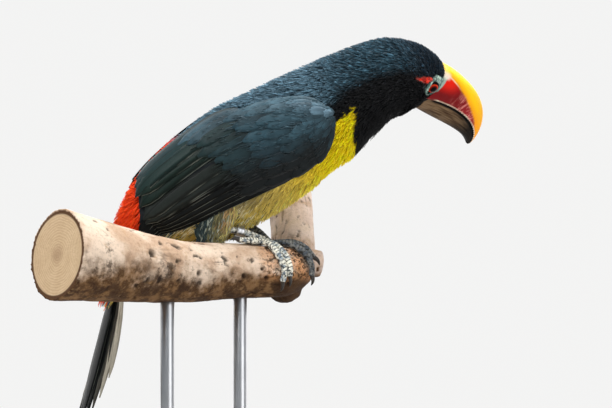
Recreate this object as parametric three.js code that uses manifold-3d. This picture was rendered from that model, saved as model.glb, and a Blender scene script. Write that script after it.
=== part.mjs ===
// Green aracari, male: a still, life-size museum model of the bird on a short cut
// length of branch, held by a display stand.
//
// Frame: millimetres, +Z up, origin at the centre of the stand's underside. The
// bird's trunk is symmetrical about the plane y = 0, and it faces +X; its right
// side is -Y. The head is turned to the bird's left and tipped to its right.

import * as THREE from "three";
import { mergeVertices } from "three/addons/utils/BufferGeometryUtils.js";
import Module from "manifold-3d";

const wasm = await Module();
wasm.setup();

// ---------------------------------------------------------------- dimensions

const GAP = 0.3; // left between pieces that touch
const SIDES = { body: 26, thigh: 11, limb: 13, shank: 7, toe: 5, claw: 5, rod: 12, stub: 9, ring: 12 };

// The trunk, as sections from the tail root to the chest. Each has its centre in
// the plane y = 0, the pitch of the body's axis there, its half-width, and how
// far it reaches above and below its centre.
const TRUNK = [
  { x: -57, z: 106, pitch: 74, half: 9.5, above: 7.5, below: 7.5 },
  { x: -51, z: 118, pitch: 67, half: 11.5, above: 11.5, below: 11.5 },
  { x: -37, z: 134, pitch: 58, half: 16, above: 21, below: 21 },
  { x: -22, z: 147, pitch: 48, half: 20, above: 28.5, below: 29 },
  { x: -3.5, z: 162, pitch: 41, half: 23.5, above: 31.5, below: 33.5 },
  { x: 17, z: 176, pitch: 35, half: 25.5, above: 33.5, below: 35.5 },
  { x: 37, z: 187, pitch: 31.5, half: 26, above: 32, below: 33.5 },
  { x: 55.5, z: 197, pitch: 24.5, half: 25, above: 30.5, below: 31 },
  { x: 70.5, z: 204.5, pitch: 17.5, half: 22.5, above: 29.5, below: 29.5 },
];

// Neck and head sections go on from there, turning into the head's own frame.
const HEAD = { x: 125.5, y: 15.2, z: 218, yaw: 46, pitch: -16, roll: 38 };
const NECK = [
  { x: 95, y: -3, z: 218.5, yaw: 12, pitch: 8, roll: 10, half: 20.5, above: 25.2, below: 21 },
  { x: 107.5, y: -1, z: 221, yaw: 30, pitch: -5, roll: 24, half: 18.5, above: 22.2, below: 22.6 },
  { x: 117, y: 6, z: 221.5, yaw: 42, pitch: -13, roll: 35, half: 14.2, above: 17.5, below: 21.4 },
  { x: 122, y: 11.7, z: 219.5, yaw: 46, pitch: -16, roll: 38, half: 12.4, above: 15.8, below: 18.6 },
  { x: 126.5, y: 15.8, z: 218, yaw: 46, pitch: -16, roll: 38, half: 10.6, above: 14.2, below: 15.8 },
];
const CUTS = { neck: 8.1, head: 9.6 }; // sections where trunk, neck and head part

// The bill, in the head's frame: x forward, y left, z up, from the bill's base.
const BILL = {
  halfWidth: 11.6,
  culmen: [[-2, 14.3], [19, 16], [51, 13.4], [66.6, 0], [70, -19.3]],
  tomium: [[-8, -5], [17, -1], [43, -1.6], [60.4, -7.8], [69.3, -18.8]],
  gonys: [[-3, -14.5], [20, -15.4], [41, -13.6], [60.5, -13.8], [68.7, -19.2]],
  upper: { width: 1, gap: 0, side: 0.62, height: 0.8 },
  lower: { width: 0.93, gap: -GAP, side: 0.7, height: 0.9 },
  reach: 0.985, // where the solid's last ring lies on the three curves
  steps: 11,
};

const EYE = { x: -13.2, y: 11.6, z: 3.2, radius: 4.4 };

// Each folded wing lies on the trunk between two edges, given as angles round
// the body (90 is the back, 180 the side, 270 the belly) at its sections.
const WING = {
  section: [1.5, 2.1, 2.9, 4, 5.2, 6.2, 6.9, 7.3, 7.5],
  upper: [168, 146, 112, 116, 126, 136, 153, 168, 180],
  lower: [176, 189, 197, 206, 211, 215, 206, 193, 183],
  edge: 0.8,
  crown: 3.4,
  clear: 0.9,
  rows: 18,
  columns: 6,
};

// The tail's ten feathers hang from the tail root, the middle pair longest.
const TAIL = {
  root: { x: -57.6, z: 104.6 },
  lean: 14.7, // backward from straight down
  twist: 8,
  lengths: [83, 78, 72, 64, 52],
  halfWidth: 6.6,
  narrowing: 0.1, // of the width, from one feather to the next outward
  spread: 2.6, // sideways from one feather to the next
  fan: 1.5, // degrees from one feather to the next
  cup: 5, // degrees of roll from one feather to the next
  layer: 0.6,
  thick: 0.9,
};

// The branch: its centre line from the cut end behind the bird's right side to
// the cut end behind its left side, with its radius at each point.
const PERCH = {
  points: [
    [-103, -65, 122], [-64.7, -47.6, 116.7], [-26.5, -30.1, 112.2], [11.2, -14.7, 112.6],
    [38, -8.2, 112.5], [47.5, 14.5, 124], [53.7, 49.9, 155.2],
  ],
  radii: [26, 21.5, 17.8, 15.6, 14, 12.8, 12.5],
  steps: 19,
  stub: { from: [44, 2, 118], to: [62, 1.5, 116], radius: 7.6, flare: 1.2 },
  knob: { at: [40, -1, 103], size: [10, 10, 9] },
};

const LEG = { tarsus: 2.1, joint: 2.6, toe: 2.05, claw: 1.3 };
const RING = { inside: 2.7, outside: 3.2, half: 2.2 };
const HEELS = { right: [-3, -14, 137], left: [18, 12, 140] };

// A thigh is ovals round a line that rises from below the heel to the flank. Each
// pair has the value at the bottom, and what is added by the top.
const THIGH = { x: [-3.5, 6.5], out: [1.5, -1.5], z: [-7.5, 23], length: [11.5, 2], width: [5.5, 2.5] };
const CLAW = { length: 5.2, bow: 0.9, dip: 0.2, taper: [1.05, 0.85, 0.55, 0.28], grip: 9 };
const TOE_ROOTS = { right: { along: 0.575, round: -4 }, left: { along: 0.66, round: -24 } };

// A toe runs over the branch from its root through these places: how far along
// the branch's centre line, and how many degrees round it from the top.
const TOES = {
  right: [
    { name: "inner_front", route: [[0.583, 2], [0.601, 24], [0.618, 50], [0.626, 76], [0.625, 98]] },
    { name: "outer_front", route: [[0.57, 8], [0.584, 32], [0.603, 62], [0.611, 88], [0.608, 108]] },
    { name: "outer_back", route: [[0.558, 5], [0.535, 12], [0.51, 15], [0.485, 14]] },
    { name: "inner_back", route: [[0.558, -16], [0.54, -32], [0.525, -48]] },
  ],
  left: [
    { name: "inner_front", route: [[0.684, -12], [0.702, 14], [0.713, 42], [0.716, 68]] },
    { name: "outer_front", route: [[0.664, -4], [0.678, 24], [0.687, 54], [0.688, 82], [0.684, 102]] },
    { name: "outer_back", route: [[0.643, -28], [0.62, -40], [0.595, -50]] },
    { name: "inner_back", route: [[0.674, -44], [0.694, -54], [0.716, -62]] },
  ],
};

const STAND = {
  base: { length: 190, width: 130, thick: 12, corner: 14, bevel: 1.5 },
  rodRadius: 4,
  rods: [0.3, 0.5], // where along the branch each rod meets it
  socket: 6, // how deep each rod stands in the base
  grip: 8, // how deep it reaches into the branch
};

// -------------------------------------------------------------- small helpers

const rad = THREE.MathUtils.degToRad;
const V = (x, y, z) => new THREE.Vector3(x, y, z);
const at = (p) => V(p[0], p[1], p[2]);
const steps = (n) => Array.from({ length: n + 1 }, (_, i) => i / n);

// Hermite interpolation through values at rising keys, with slopes taken from
// the neighbours.
function smooth(keys, values, u) {
  const last = keys.length - 1;
  const slope = (i) => {
    const a = Math.max(i - 1, 0);
    const b = Math.min(i + 1, last);
    return (values[b] - values[a]) / (keys[b] - keys[a]);
  };
  let i = 0;
  while (i < last - 1 && u >= keys[i + 1]) i += 1;
  const h = keys[i + 1] - keys[i];
  const t = (u - keys[i]) / h;
  const t2 = t * t;
  const t3 = t2 * t;
  return (
    (2 * t3 - 3 * t2 + 1) * values[i] +
    (t3 - 2 * t2 + t) * h * slope(i) +
    (3 * t2 - 2 * t3) * values[i + 1] +
    (t3 - t2) * h * slope(i + 1)
  );
}

// A point of the Bezier curve with the given control points.
function bezier(points, t) {
  let rest = points.map((p) => [...p]);
  while (rest.length > 1) {
    rest = rest.slice(1).map((p, i) => p.map((c, k) => rest[i][k] * (1 - t) + c * t));
  }
  return rest[0];
}

// Forward, left and up directions after a yaw to the left, a pitch up and a roll
// to the right, in degrees.
function turned(yaw, pitch, roll) {
  const [y, p, r] = [rad(yaw), rad(pitch), rad(roll)];
  const forward = V(Math.cos(y) * Math.cos(p), Math.sin(y) * Math.cos(p), Math.sin(p));
  const level = V(-Math.sin(y), Math.cos(y), 0);
  const upright = forward.clone().cross(level);
  const left = level.clone().multiplyScalar(Math.cos(r)).addScaledVector(upright, Math.sin(r));
  const up = upright.clone().multiplyScalar(Math.cos(r)).addScaledVector(level, -Math.sin(r));
  return { forward, left, up };
}

function offset(origin, frame, x, y, z) {
  const p = origin.clone().addScaledVector(frame.forward, x);
  return p.addScaledVector(frame.left, y).addScaledVector(frame.up, z);
}

function geometryOf(vertices, faces) {
  const geometry = new THREE.BufferGeometry();
  const numbers = vertices.flatMap((p) => p.toArray());
  geometry.setAttribute("position", new THREE.Float32BufferAttribute(numbers, 3));
  geometry.setIndex(faces.flat());
  return geometry;
}

// A closed solid through rings of points, each ring anticlockwise seen from the
// last one, with a fan over each end.
function ringSolid(rings) {
  const n = rings[0].length;
  const vertices = rings.flat();
  const faces = [];
  for (let i = 0; i + 1 < rings.length; i += 1) {
    for (let j = 0; j < n; j += 1) {
      const [a, b] = [i * n + j, i * n + ((j + 1) % n)];
      faces.push([a, b, b + n], [a, b + n, a + n]);
    }
  }
  for (const end of [0, rings.length - 1]) {
    const middle = rings[end].reduce((sum, p) => sum.add(p), V(0, 0, 0)).divideScalar(n);
    const hub = vertices.push(middle) - 1;
    for (let j = 0; j < n; j += 1) {
      const [a, b] = [end * n + j, end * n + ((j + 1) % n)];
      faces.push(end === 0 ? [hub, b, a] : [hub, a, b]);
    }
  }
  return geometryOf(vertices, faces);
}

// A closed thin plate between two grids of points, outer over inner.
function plateSolid(outer, inner) {
  const [rows, columns] = [outer.length, outer[0].length];
  const vertices = [...outer.flat(), ...inner.flat()];
  const under = rows * columns;
  const faces = [];
  const quad = (a, b, c, d) => faces.push([a, b, c], [a, c, d]);
  for (let i = 0; i + 1 < rows; i += 1) {
    for (let j = 0; j + 1 < columns; j += 1) {
      const a = i * columns + j;
      quad(a, a + columns, a + columns + 1, a + 1);
      quad(under + a, under + a + 1, under + a + columns + 1, under + a + columns);
    }
  }
  const wall = (a, b) => quad(a, b, under + b, under + a);
  for (let i = 0; i + 1 < rows; i += 1) {
    wall((i + 1) * columns, i * columns);
    wall(i * columns + columns - 1, (i + 1) * columns + columns - 1);
  }
  for (let j = 0; j + 1 < columns; j += 1) {
    wall(j, j + 1);
    wall((rows - 1) * columns + j + 1, (rows - 1) * columns + j);
  }
  return geometryOf(vertices, faces);
}

// Turns a plate or ring solid that came out inside out.
function facingOut(geometry) {
  const p = geometry.attributes.position;
  const index = geometry.index.array;
  const corner = (k) => V(p.getX(index[k]), p.getY(index[k]), p.getZ(index[k]));
  let volume = 0;
  for (let k = 0; k < index.length; k += 3) {
    volume += corner(k).dot(corner(k + 1).cross(corner(k + 2)));
  }
  if (volume < 0) {
    for (let k = 0; k < index.length; k += 3) [index[k], index[k + 1]] = [index[k + 1], index[k]];
  }
  return geometry;
}

// manifold-3d solids, for cuts and joins only.
function solidOf(geometry) {
  const bare = new THREE.BufferGeometry();
  bare.setAttribute("position", geometry.attributes.position);
  if (geometry.index) bare.setIndex(geometry.index);
  const merged = mergeVertices(bare, 1e-5);
  return new wasm.Manifold(
    new wasm.Mesh({
      numProp: 3,
      vertProperties: new Float32Array(merged.attributes.position.array),
      triVerts: new Uint32Array(merged.index.array),
    }),
  );
}

function geometryFrom(solid) {
  const mesh = solid.getMesh();
  const geometry = new THREE.BufferGeometry();
  geometry.setAttribute("position", new THREE.BufferAttribute(new Float32Array(mesh.vertProperties), 3));
  geometry.setIndex(new THREE.BufferAttribute(new Uint32Array(mesh.triVerts), 1));
  return geometry;
}

// A piece less its tools. Of what the cut leaves, the largest body is kept.
function cut(geometry, ...tools) {
  const left = tools.reduce((solid, tool) => solid.subtract(solidOf(tool)), solidOf(geometry));
  const bodies = left.decompose().sort((a, b) => b.volume() - a.volume());
  return geometryFrom(bodies[0]);
}

const joined = (...pieces) =>
  geometryFrom(pieces.slice(1).reduce((solid, piece) => solid.add(solidOf(piece)), solidOf(pieces[0])));

// A round bar along a path of points, with its radius at each point.
function barSolid(path, radii, sides, between = 2) {
  const keys = path.map((_, i) => i);
  const curve = (u) => V(...[0, 1, 2].map((k) => smooth(keys, path.map((p) => p.getComponent(k)), u)));
  const count = (path.length - 1) * between;
  let across = V(0, 0, 1);
  const rings = steps(count).map((t) => {
    const u = t * (path.length - 1);
    const ahead = curve(Math.min(u + 0.05, path.length - 1));
    const tangent = ahead.sub(curve(Math.max(u - 0.05, 0))).normalize();
    across = across.clone().addScaledVector(tangent, -across.dot(tangent));
    if (across.length() < 0.01) across = V(1, 0, 0).addScaledVector(tangent, -tangent.x);
    across.normalize();
    const side = tangent.clone().cross(across);
    const radius = smooth(keys, radii, u);
    return ringAround(curve(u), across, side, radius, radius, sides);
  });
  return ringSolid(rings);
}

function ringAround(centre, across, side, rx, ry, sides) {
  return Array.from({ length: sides }, (_, j) => {
    const a = (2 * Math.PI * j) / sides;
    const p = centre.clone().addScaledVector(across, rx * Math.cos(a));
    return p.addScaledVector(side, ry * Math.sin(a));
  });
}

function rodSolid(x, y, low, high, radius) {
  const geometry = new THREE.CylinderGeometry(radius, radius, high - low, SIDES.rod);
  geometry.rotateX(Math.PI / 2);
  return geometry.translate(x, y, (low + high) / 2);
}

// ------------------------------------------------------------------ the body

const SECTIONS = [
  ...TRUNK.map((s) => ({ ...s, y: 0, yaw: 0, roll: 0 })),
  ...NECK,
];
const SECTION_KEYS = SECTIONS.map((_, i) => i);
const sectionValue = (name, u) => smooth(SECTION_KEYS, SECTIONS.map((s) => s[name]), u);

// The body's surface: an oval ring at each section, with its own height above
// and below the centre. The angle is 0 at the left side and 90 at the back.
function bodyPoint(u, angle, grow = 0) {
  const frame = turned(sectionValue("yaw", u), sectionValue("pitch", u), sectionValue("roll", u));
  const centre = V(sectionValue("x", u), sectionValue("y", u), sectionValue("z", u));
  const [c, s] = [Math.cos(rad(angle)), Math.sin(rad(angle))];
  const height = sectionValue(s > 0 ? "above" : "below", u) + grow;
  return offset(centre, frame, 0, (sectionValue("half", u) + grow) * c, height * s);
}

function bodyLength(from, to, count, grow = 0) {
  const rings = steps(count).map((t) => {
    const u = from + (to - from) * t;
    return steps(SIDES.body).slice(0, -1).map((a) => bodyPoint(u, 360 * a, grow));
  });
  return facingOut(ringSolid(rings));
}

const headFrame = turned(HEAD.yaw, HEAD.pitch, HEAD.roll);
const inHead = (x, y, z) => offset(V(HEAD.x, HEAD.y, HEAD.z), headFrame, x, y, z);

// ------------------------------------------------------------------ the bill

const billHalf = (t) => BILL.halfWidth * (1 - t) ** 0.62 * (1 + 0.25 * t);

// One mandible: rings from the base to the tip. Each ring is an arch from the
// right cutting edge over the ridge to the left one, closed by a flat between.
function mandible(ridge, { width, gap, side, height }, grow) {
  const rings = steps(BILL.steps).map((t) => {
    const u = BILL.reach * t;
    const edge = bezier(BILL.tomium, u);
    const top = bezier(ridge, u);
    const rise = Math.sign(top[1] - edge[1]);
    const half = width * billHalf(u) + grow;
    const lift = [top[0] - edge[0], top[1] - edge[1] - gap + 2 * grow * rise];
    const base = [edge[0] - (t === 0 ? 2 * grow : 0), edge[1] + gap - grow * rise];
    const arc = steps(8).map((a) => {
      const c = Math.cos(Math.PI * a);
      const h = Math.sin(Math.PI * a) ** height;
      const y = -Math.sign(c) * Math.abs(c) ** side * half;
      return inHead(base[0] + lift[0] * h, y, base[1] + lift[1] * h);
    });
    const flat = [0.5, 0, -0.5].map((f) => inHead(base[0], half * f, base[1]));
    return [...arc, ...flat];
  });
  return facingOut(ringSolid(rings));
}

const upperMandible = (grow = 0) => mandible(BILL.culmen, BILL.upper, grow);
const lowerMandible = (grow = 0) => mandible(BILL.gonys, BILL.lower, grow);

// ------------------------------------------------------------------- the eye

function eyeball(side, grow = 0) {
  const geometry = new THREE.SphereGeometry(EYE.radius + grow, 11, 7);
  const centre = inHead(EYE.x, EYE.y * side, EYE.z);
  return geometry.translate(centre.x, centre.y, centre.z);
}

// ----------------------------------------------------------------- the wings

// With room, the same solid grown by that much, for cutting its neighbours.
function wing(side, room = 0) {
  const point = (s, t, grow) => {
    const u = WING.section[0] + (WING.section.at(-1) - WING.section[0]) * s;
    const upper = smooth(WING.section, WING.upper, u);
    const lower = smooth(WING.section, WING.lower, u) + 4 * room;
    const p = bodyPoint(u, upper + (lower - upper) * t, WING.clear + grow);
    return V(p.x, p.y * side, p.z);
  };
  const thick = (s, t) => {
    const across = Math.sin(Math.PI * t) ** 0.9;
    const along = Math.min(1, 3 * s) * Math.min(1, 7 * (1 - s)) ** 0.5;
    return WING.edge + (WING.crown - WING.edge) * across * along + room;
  };
  const grid = (grow) =>
    steps(WING.rows).map((s) => steps(WING.columns).map((t) => point(s, t, grow(s, t))));
  return facingOut(plateSolid(grid(thick), grid(() => -room)));
}

// ------------------------------------------------------------------ the tail

// One tail feather: a cupped plate with a pointed tip. Its rank counts from the
// middle pair outwards.
function tailFeather(rank, side) {
  const down = V(-Math.sin(rad(TAIL.lean)), 0, -Math.cos(rad(TAIL.lean)));
  const across = V(0, 1, 0).applyAxisAngle(down, rad(-TAIL.twist));
  const back = across.clone().cross(down);
  const turn = side * rad(TAIL.fan * (rank + 0.5));
  const along = down.clone().multiplyScalar(Math.cos(turn)).addScaledVector(across, Math.sin(turn));
  const tilt = side * rad(TAIL.cup * (rank + 0.5));
  const wide = across.clone().multiplyScalar(Math.cos(tilt)).addScaledVector(back, -Math.sin(tilt));
  const root = V(TAIL.root.x, 0, TAIL.root.z);
  root.addScaledVector(across, side * TAIL.spread * (rank + 0.35) * 0.5);
  root.addScaledVector(back, -TAIL.layer * (rank + (side > 0 ? 0.4 : 0)));
  const shift = side * TAIL.spread * (rank + 0.35) * 0.5;
  const grid = (lift) =>
    [0, 0.35, 0.7, 0.9, 1].map((s) => {
      const d = TAIL.lengths[rank] * s;
      const open = Math.min(1, 0.55 + d / 40);
      const tip = 1 - 0.88 * Math.max(0, (s - 0.5) / 0.5) ** 1.8;
      const half = TAIL.halfWidth * (1 - TAIL.narrowing * rank) * open * tip;
      return steps(2).map((t) => {
        const w = (2 * t - 1) * half + shift * Math.min(1, d / 45);
        const p = root.clone().addScaledVector(along, d).addScaledVector(wide, w);
        return p.addScaledVector(back, lift);
      });
    });
  return facingOut(plateSolid(grid(TAIL.thick / 2), grid(-TAIL.thick / 2)));
}

function tail() {
  const feathers = TAIL.lengths.flatMap((_, rank) => [tailFeather(rank, -1), tailFeather(rank, 1)]);
  return joined(...feathers);
}

// ---------------------------------------------------------------- the branch

const perchKeys = steps(PERCH.points.length - 1);
const perchCentre = (s) => V(...[0, 1, 2].map((k) => smooth(perchKeys, PERCH.points.map((p) => p[k]), s)));
const perchRadius = (s) => smooth(perchKeys, PERCH.radii, s);

// Directions on the branch: along it, up from it, and to its outer side.
function perchFrame(s) {
  const nudge = 0.004;
  const from = perchCentre(Math.max(s - nudge, 0));
  const along = perchCentre(Math.min(s + nudge, 1)).sub(from).normalize();
  const up = V(0, 0, 1).addScaledVector(along, -along.z).normalize();
  return { along, up, outer: along.clone().cross(up) };
}

function onPerch(s, round, height) {
  const { up, outer } = perchFrame(s);
  const reach = perchRadius(s) + height;
  const p = perchCentre(s).addScaledVector(up, reach * Math.cos(rad(round)));
  return p.addScaledVector(outer, reach * Math.sin(rad(round)));
}

// The limb with its sawn stub and the knob under its bend.
function limb(grow = 0) {
  const rings = steps(PERCH.steps).map((s) => {
    const { up, outer } = perchFrame(s);
    const radius = perchRadius(s) + grow;
    return ringAround(perchCentre(s), up, outer, radius, radius, SIDES.limb);
  });
  const { stub, knob } = PERCH;
  const ends = [stub.radius * stub.flare, stub.radius].map((r) => r + grow);
  const cutEnd = facingOut(barSolid([at(stub.from), at(stub.to)], ends, SIDES.stub));
  const bump = new THREE.SphereGeometry(1, 10, 6).scale(...knob.size).translate(...knob.at);
  return joined(facingOut(ringSolid(rings)), cutEnd, bump);
}

function perch() {
  const holes = STAND.rods.map((s) => {
    const { x, y, z } = perchCentre(s);
    const below = z - 2 * perchRadius(s);
    return rodSolid(x, y, below, rodTop(s) + GAP, STAND.rodRadius + GAP);
  });
  return cut(limb(), ...holes);
}

const rodTop = (s) => perchCentre(s).z - perchRadius(s) + STAND.grip;

// ------------------------------------------------------------- legs and feet

// The feathered thigh hangs from the flank to below the heel, trimmed by the trunk,
// the wing, the shank and toes, and the branch.
function thigh(side) {
  const [x, y, z] = HEELS[side];
  const out = Math.sign(y);
  const rings = steps(4).map((t) => {
    const value = ([start, gain]) => start + gain * t;
    const centre = V(x + value(THIGH.x), y + out * value(THIGH.out), z + value(THIGH.z));
    const swell = Math.sqrt(Math.max(0.12, 1 - (1 - t) ** 4));
    const [rx, ry] = [THIGH.length, THIGH.width].map((pair) => value(pair) * swell);
    return ringAround(centre, V(1, 0, 0), V(0, 1, 0), rx, ry, SIDES.thigh);
  });
  const room = [bodyLength(0, CUTS.neck, 40, GAP + 0.1), shank(side, GAP), foot(side, GAP)];
  return cut(facingOut(ringSolid(rings)), ...room, wing(-out, GAP), limb(GAP));
}

const toeRoot = (side) => onPerch(TOE_ROOTS[side].along, TOE_ROOTS[side].round, LEG.toe + 0.5);

// The shank runs from the heel to the toes' root, bowed a little upwards.
function shankPath(side) {
  const heel = at(HEELS[side]);
  const foot = toeRoot(side).add(V(0, 0, 0.4));
  return [heel, heel.clone().lerp(foot, 0.5).add(V(0, 0, 1.6)), foot];
}

function shank(side, grow = 0) {
  const radii = [LEG.tarsus + 0.3, LEG.tarsus, LEG.joint].map((r) => r + grow);
  return facingOut(barSolid(shankPath(side), radii, SIDES.shank));
}

const tarsus = (side) => cut(shank(side), foot(side, GAP));

function toePath(side, toe) {
  const lift = LEG.toe + GAP + 0.15;
  return [toeRoot(side), ...toe.route.map(([s, round]) => onPerch(s, round, lift))];
}

// A foot: its four toes, joined at their root.
function foot(side, grow = 0) {
  const toes = TOES[side].map((toe) => {
    const path = toePath(side, toe);
    const radii = path.map((_, i) => LEG.toe * (1.08 - (0.33 * i) / (path.length - 1)) + grow);
    return facingOut(barSolid(path, radii, SIDES.toe));
  });
  return joined(...toes);
}

// A claw: a tapering hook that goes on from the toe's end and bends towards the
// branch's surface.
function claw(side, toe) {
  const path = toePath(side, toe);
  const end = path.at(-1);
  const ahead = end.clone().sub(path.at(-2)).normalize();
  const [s, round] = toe.route.at(-1);
  const inward = end.clone().sub(onPerch(s, round, CLAW.grip)).normalize();
  const points = [0, 0.35, 0.7, 1].map((t) => {
    const p = end.clone().addScaledVector(ahead, 2 * GAP + CLAW.length * t);
    return p.addScaledVector(inward, CLAW.dip * t - CLAW.bow * Math.sin(Math.PI * t));
  });
  const radii = CLAW.taper.map((f) => f * LEG.claw);
  return facingOut(barSolid(points, radii, SIDES.claw, 1));
}

// A plain ring round the right shank.
function legRing(inside = RING.inside, grow = 0) {
  const [heel, middle, end] = shankPath("right");
  const along = end.clone().sub(heel).normalize();
  const [outside, half] = [RING.outside + grow, RING.half + grow];
  const profile = [[inside, -half], [outside, -half], [outside, half], [inside, half], [inside, -half]];
  const geometry = new THREE.LatheGeometry(profile.map(([r, h]) => new THREE.Vector2(r, h)), SIDES.ring);
  geometry.applyQuaternion(new THREE.Quaternion().setFromUnitVectors(V(0, 1, 0), along));
  return geometry.translate(middle.x, middle.y, middle.z);
}

// ----------------------------------------------------------------- the stand

function standBase() {
  const { length, width, thick, corner, bevel } = STAND.base;
  const [x, y] = [length / 2 - bevel, width / 2 - bevel];
  const r = corner - bevel;
  const shape = new THREE.Shape();
  shape.moveTo(-x + r, -y);
  shape.lineTo(x - r, -y);
  shape.absarc(x - r, -y + r, r, -Math.PI / 2, 0);
  shape.absarc(x - r, y - r, r, 0, Math.PI / 2);
  shape.absarc(-x + r, y - r, r, Math.PI / 2, Math.PI);
  shape.absarc(-x + r, -y + r, r, Math.PI, 1.5 * Math.PI);
  const plate = new THREE.ExtrudeGeometry(shape, {
    depth: thick - 2 * bevel,
    bevelSize: bevel,
    bevelThickness: bevel,
    bevelSegments: 1,
    curveSegments: 3,
  });
  plate.translate(0, 0, bevel);
  const sockets = STAND.rods.map((s) => {
    const { x, y } = perchCentre(s);
    return rodSolid(x, y, thick - STAND.socket - GAP, 2 * thick, STAND.rodRadius + GAP);
  });
  return cut(plate, ...sockets);
}

function standRod(s) {
  const { x, y } = perchCentre(s);
  return rodSolid(x, y, STAND.base.thick - STAND.socket, rodTop(s), STAND.rodRadius);
}

// ------------------------------------------------------------------ assembly

const paint = (color, roughness, metalness = 0) => ({ color, roughness, metalness });
const FINISH = {
  head: paint(0x222d38, 0.75),
  neck: paint(0x35505c, 0.75),
  trunk: paint(0x8f8a2a, 0.8),
  wing: paint(0x2a3a42, 0.7),
  tail: paint(0x232823, 0.65),
  thigh: paint(0x4a4f3c, 0.85),
  billUpper: paint(0xd98a1c, 0.35),
  billLower: paint(0x5c4a38, 0.4),
  eye: paint(0x3a1612, 0.1),
  leg: paint(0x8b8a80, 0.6),
  claw: paint(0x24211f, 0.4),
  ring: paint(0xb8bcc0, 0.3, 0.9),
  bark: paint(0xa88e74, 0.9),
  stand: paint(0x2b2b2d, 0.45),
  rod: paint(0xb5b7ba, 0.3, 0.9),
};

const aracari = new THREE.Group();

function place(name, geometry, finish) {
  const mesh = new THREE.Mesh(geometry, new THREE.MeshStandardMaterial(finish));
  mesh.name = name;
  aracari.add(mesh);
}

const lastSection = SECTIONS.length - 1;
const seam = 0.014; // half the thin cut between body lengths, in sections
const headSolid = bodyLength(CUTS.head + seam, lastSection, 8);
const face = [upperMandible(GAP), lowerMandible(GAP), eyeball(1, GAP), eyeball(-1, GAP)];

const legRoom = [shank("right", GAP), shank("left", GAP), legRing(0.2, GAP)];

place("trunk", cut(bodyLength(0, CUTS.neck - seam, 18), ...legRoom), FINISH.trunk);
place("neck", bodyLength(CUTS.neck + seam, CUTS.head - seam, 6), FINISH.neck);
place("head", cut(headSolid, ...face), FINISH.head);
place("bill_upper", upperMandible(), FINISH.billUpper);
place("bill_lower", lowerMandible(), FINISH.billLower);
place("tail", tail(), FINISH.tail);
place("perch", perch(), FINISH.bark);
place("stand_base", standBase(), FINISH.stand);
STAND.rods.forEach((s, i) => place(`stand_rod_${i + 1}`, standRod(s), FINISH.rod));
place("leg_ring", legRing(), FINISH.ring);

for (const side of ["right", "left"]) {
  const out = side === "right" ? -1 : 1;
  place(`eye_${side}`, eyeball(out), FINISH.eye);
  place(`wing_${side}`, wing(-out), FINISH.wing);
  place(`thigh_${side}`, thigh(side), FINISH.thigh);
  place(`tarsus_${side}`, tarsus(side), FINISH.leg);
  place(`foot_${side}`, cut(foot(side), limb(GAP)), FINISH.leg);
  for (const toe of TOES[side]) {
    place(`claw_${side}_${toe.name}`, cut(claw(side, toe), limb(GAP), foot(side, GAP)), FINISH.claw);
  }
}

export default aracari;
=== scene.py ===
"""Looks of the green aracari on its cut branch and stand.

Everything is worked out in millimetres from the sections of the bird's body, and
put into meshes in metres. The bird's right side is -Y, and it faces +X.
"""

from functools import cache

import bpy
import numpy as np
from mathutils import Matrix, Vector


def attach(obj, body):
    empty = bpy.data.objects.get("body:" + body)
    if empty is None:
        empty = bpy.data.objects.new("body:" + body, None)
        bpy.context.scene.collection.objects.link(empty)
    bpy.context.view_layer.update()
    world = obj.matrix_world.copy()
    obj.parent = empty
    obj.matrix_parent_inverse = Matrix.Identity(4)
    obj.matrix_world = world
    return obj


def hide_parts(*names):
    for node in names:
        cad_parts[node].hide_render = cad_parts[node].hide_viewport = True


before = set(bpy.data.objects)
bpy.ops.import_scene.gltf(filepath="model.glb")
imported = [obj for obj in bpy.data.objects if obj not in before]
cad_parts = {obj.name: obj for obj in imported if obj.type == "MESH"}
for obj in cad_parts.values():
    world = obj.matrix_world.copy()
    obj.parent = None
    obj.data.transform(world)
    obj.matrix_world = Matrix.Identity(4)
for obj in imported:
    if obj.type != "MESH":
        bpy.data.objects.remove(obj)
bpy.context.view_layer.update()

MM = 0.001

# Sections of the body from the tail root to the bill, in millimetres and degrees:
# centre x, y, z, yaw, pitch, roll, half-width, reach above and below the centre.
SECTIONS = np.array([
    (-57, 0, 106, 0, 74, 0, 9.5, 7.5, 7.5),
    (-51, 0, 118, 0, 67, 0, 11.5, 11.5, 11.5),
    (-37, 0, 134, 0, 58, 0, 16, 21, 21),
    (-22, 0, 147, 0, 48, 0, 20, 28.5, 29),
    (-3.5, 0, 162, 0, 41, 0, 23.5, 31.5, 33.5),
    (17, 0, 176, 0, 35, 0, 25.5, 33.5, 35.5),
    (37, 0, 187, 0, 31.5, 0, 26, 32, 33.5),
    (55.5, 0, 197, 0, 24.5, 0, 25, 30.5, 31),
    (70.5, 0, 204.5, 0, 17.5, 0, 22.5, 29.5, 29.5),
    (95, -3, 218.5, 12, 8, 10, 20.5, 25.2, 21),
    (107.5, -1, 221, 30, -5, 24, 18.5, 22.2, 22.6),
    (117, 6, 221.5, 42, -13, 35, 14.2, 17.5, 21.4),
    (122, 11.7, 219.5, 46, -16, 38, 12.4, 15.8, 18.6),
    (126.5, 15.8, 218, 46, -16, 38, 10.6, 14.2, 15.8),
], float)
LAST = len(SECTIONS) - 1
# The head's own frame: where the bill's base is, and how the head is turned.
HEAD = {"at": (125.5, 15.2, 218.0), "yaw": 46, "pitch": -16, "roll": 38}
# The bill's half-width at its base, and the control points, forward and up in the
# head's frame, of its ridge, its cutting edge and its lower edge.
BILL = {
    "half": 11.6,
    "culmen": [(-2, 14.3), (19, 16), (51, 13.4), (66.6, 0), (70, -19.3)],
    "tomium": [(-8, -5), (17, -1), (43, -1.6), (60.4, -7.8), (69.3, -18.8)],
    "gonys": [(-3, -14.5), (20, -15.4), (41, -13.6), (60.5, -13.8), (68.7, -19.2)],
}
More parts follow.
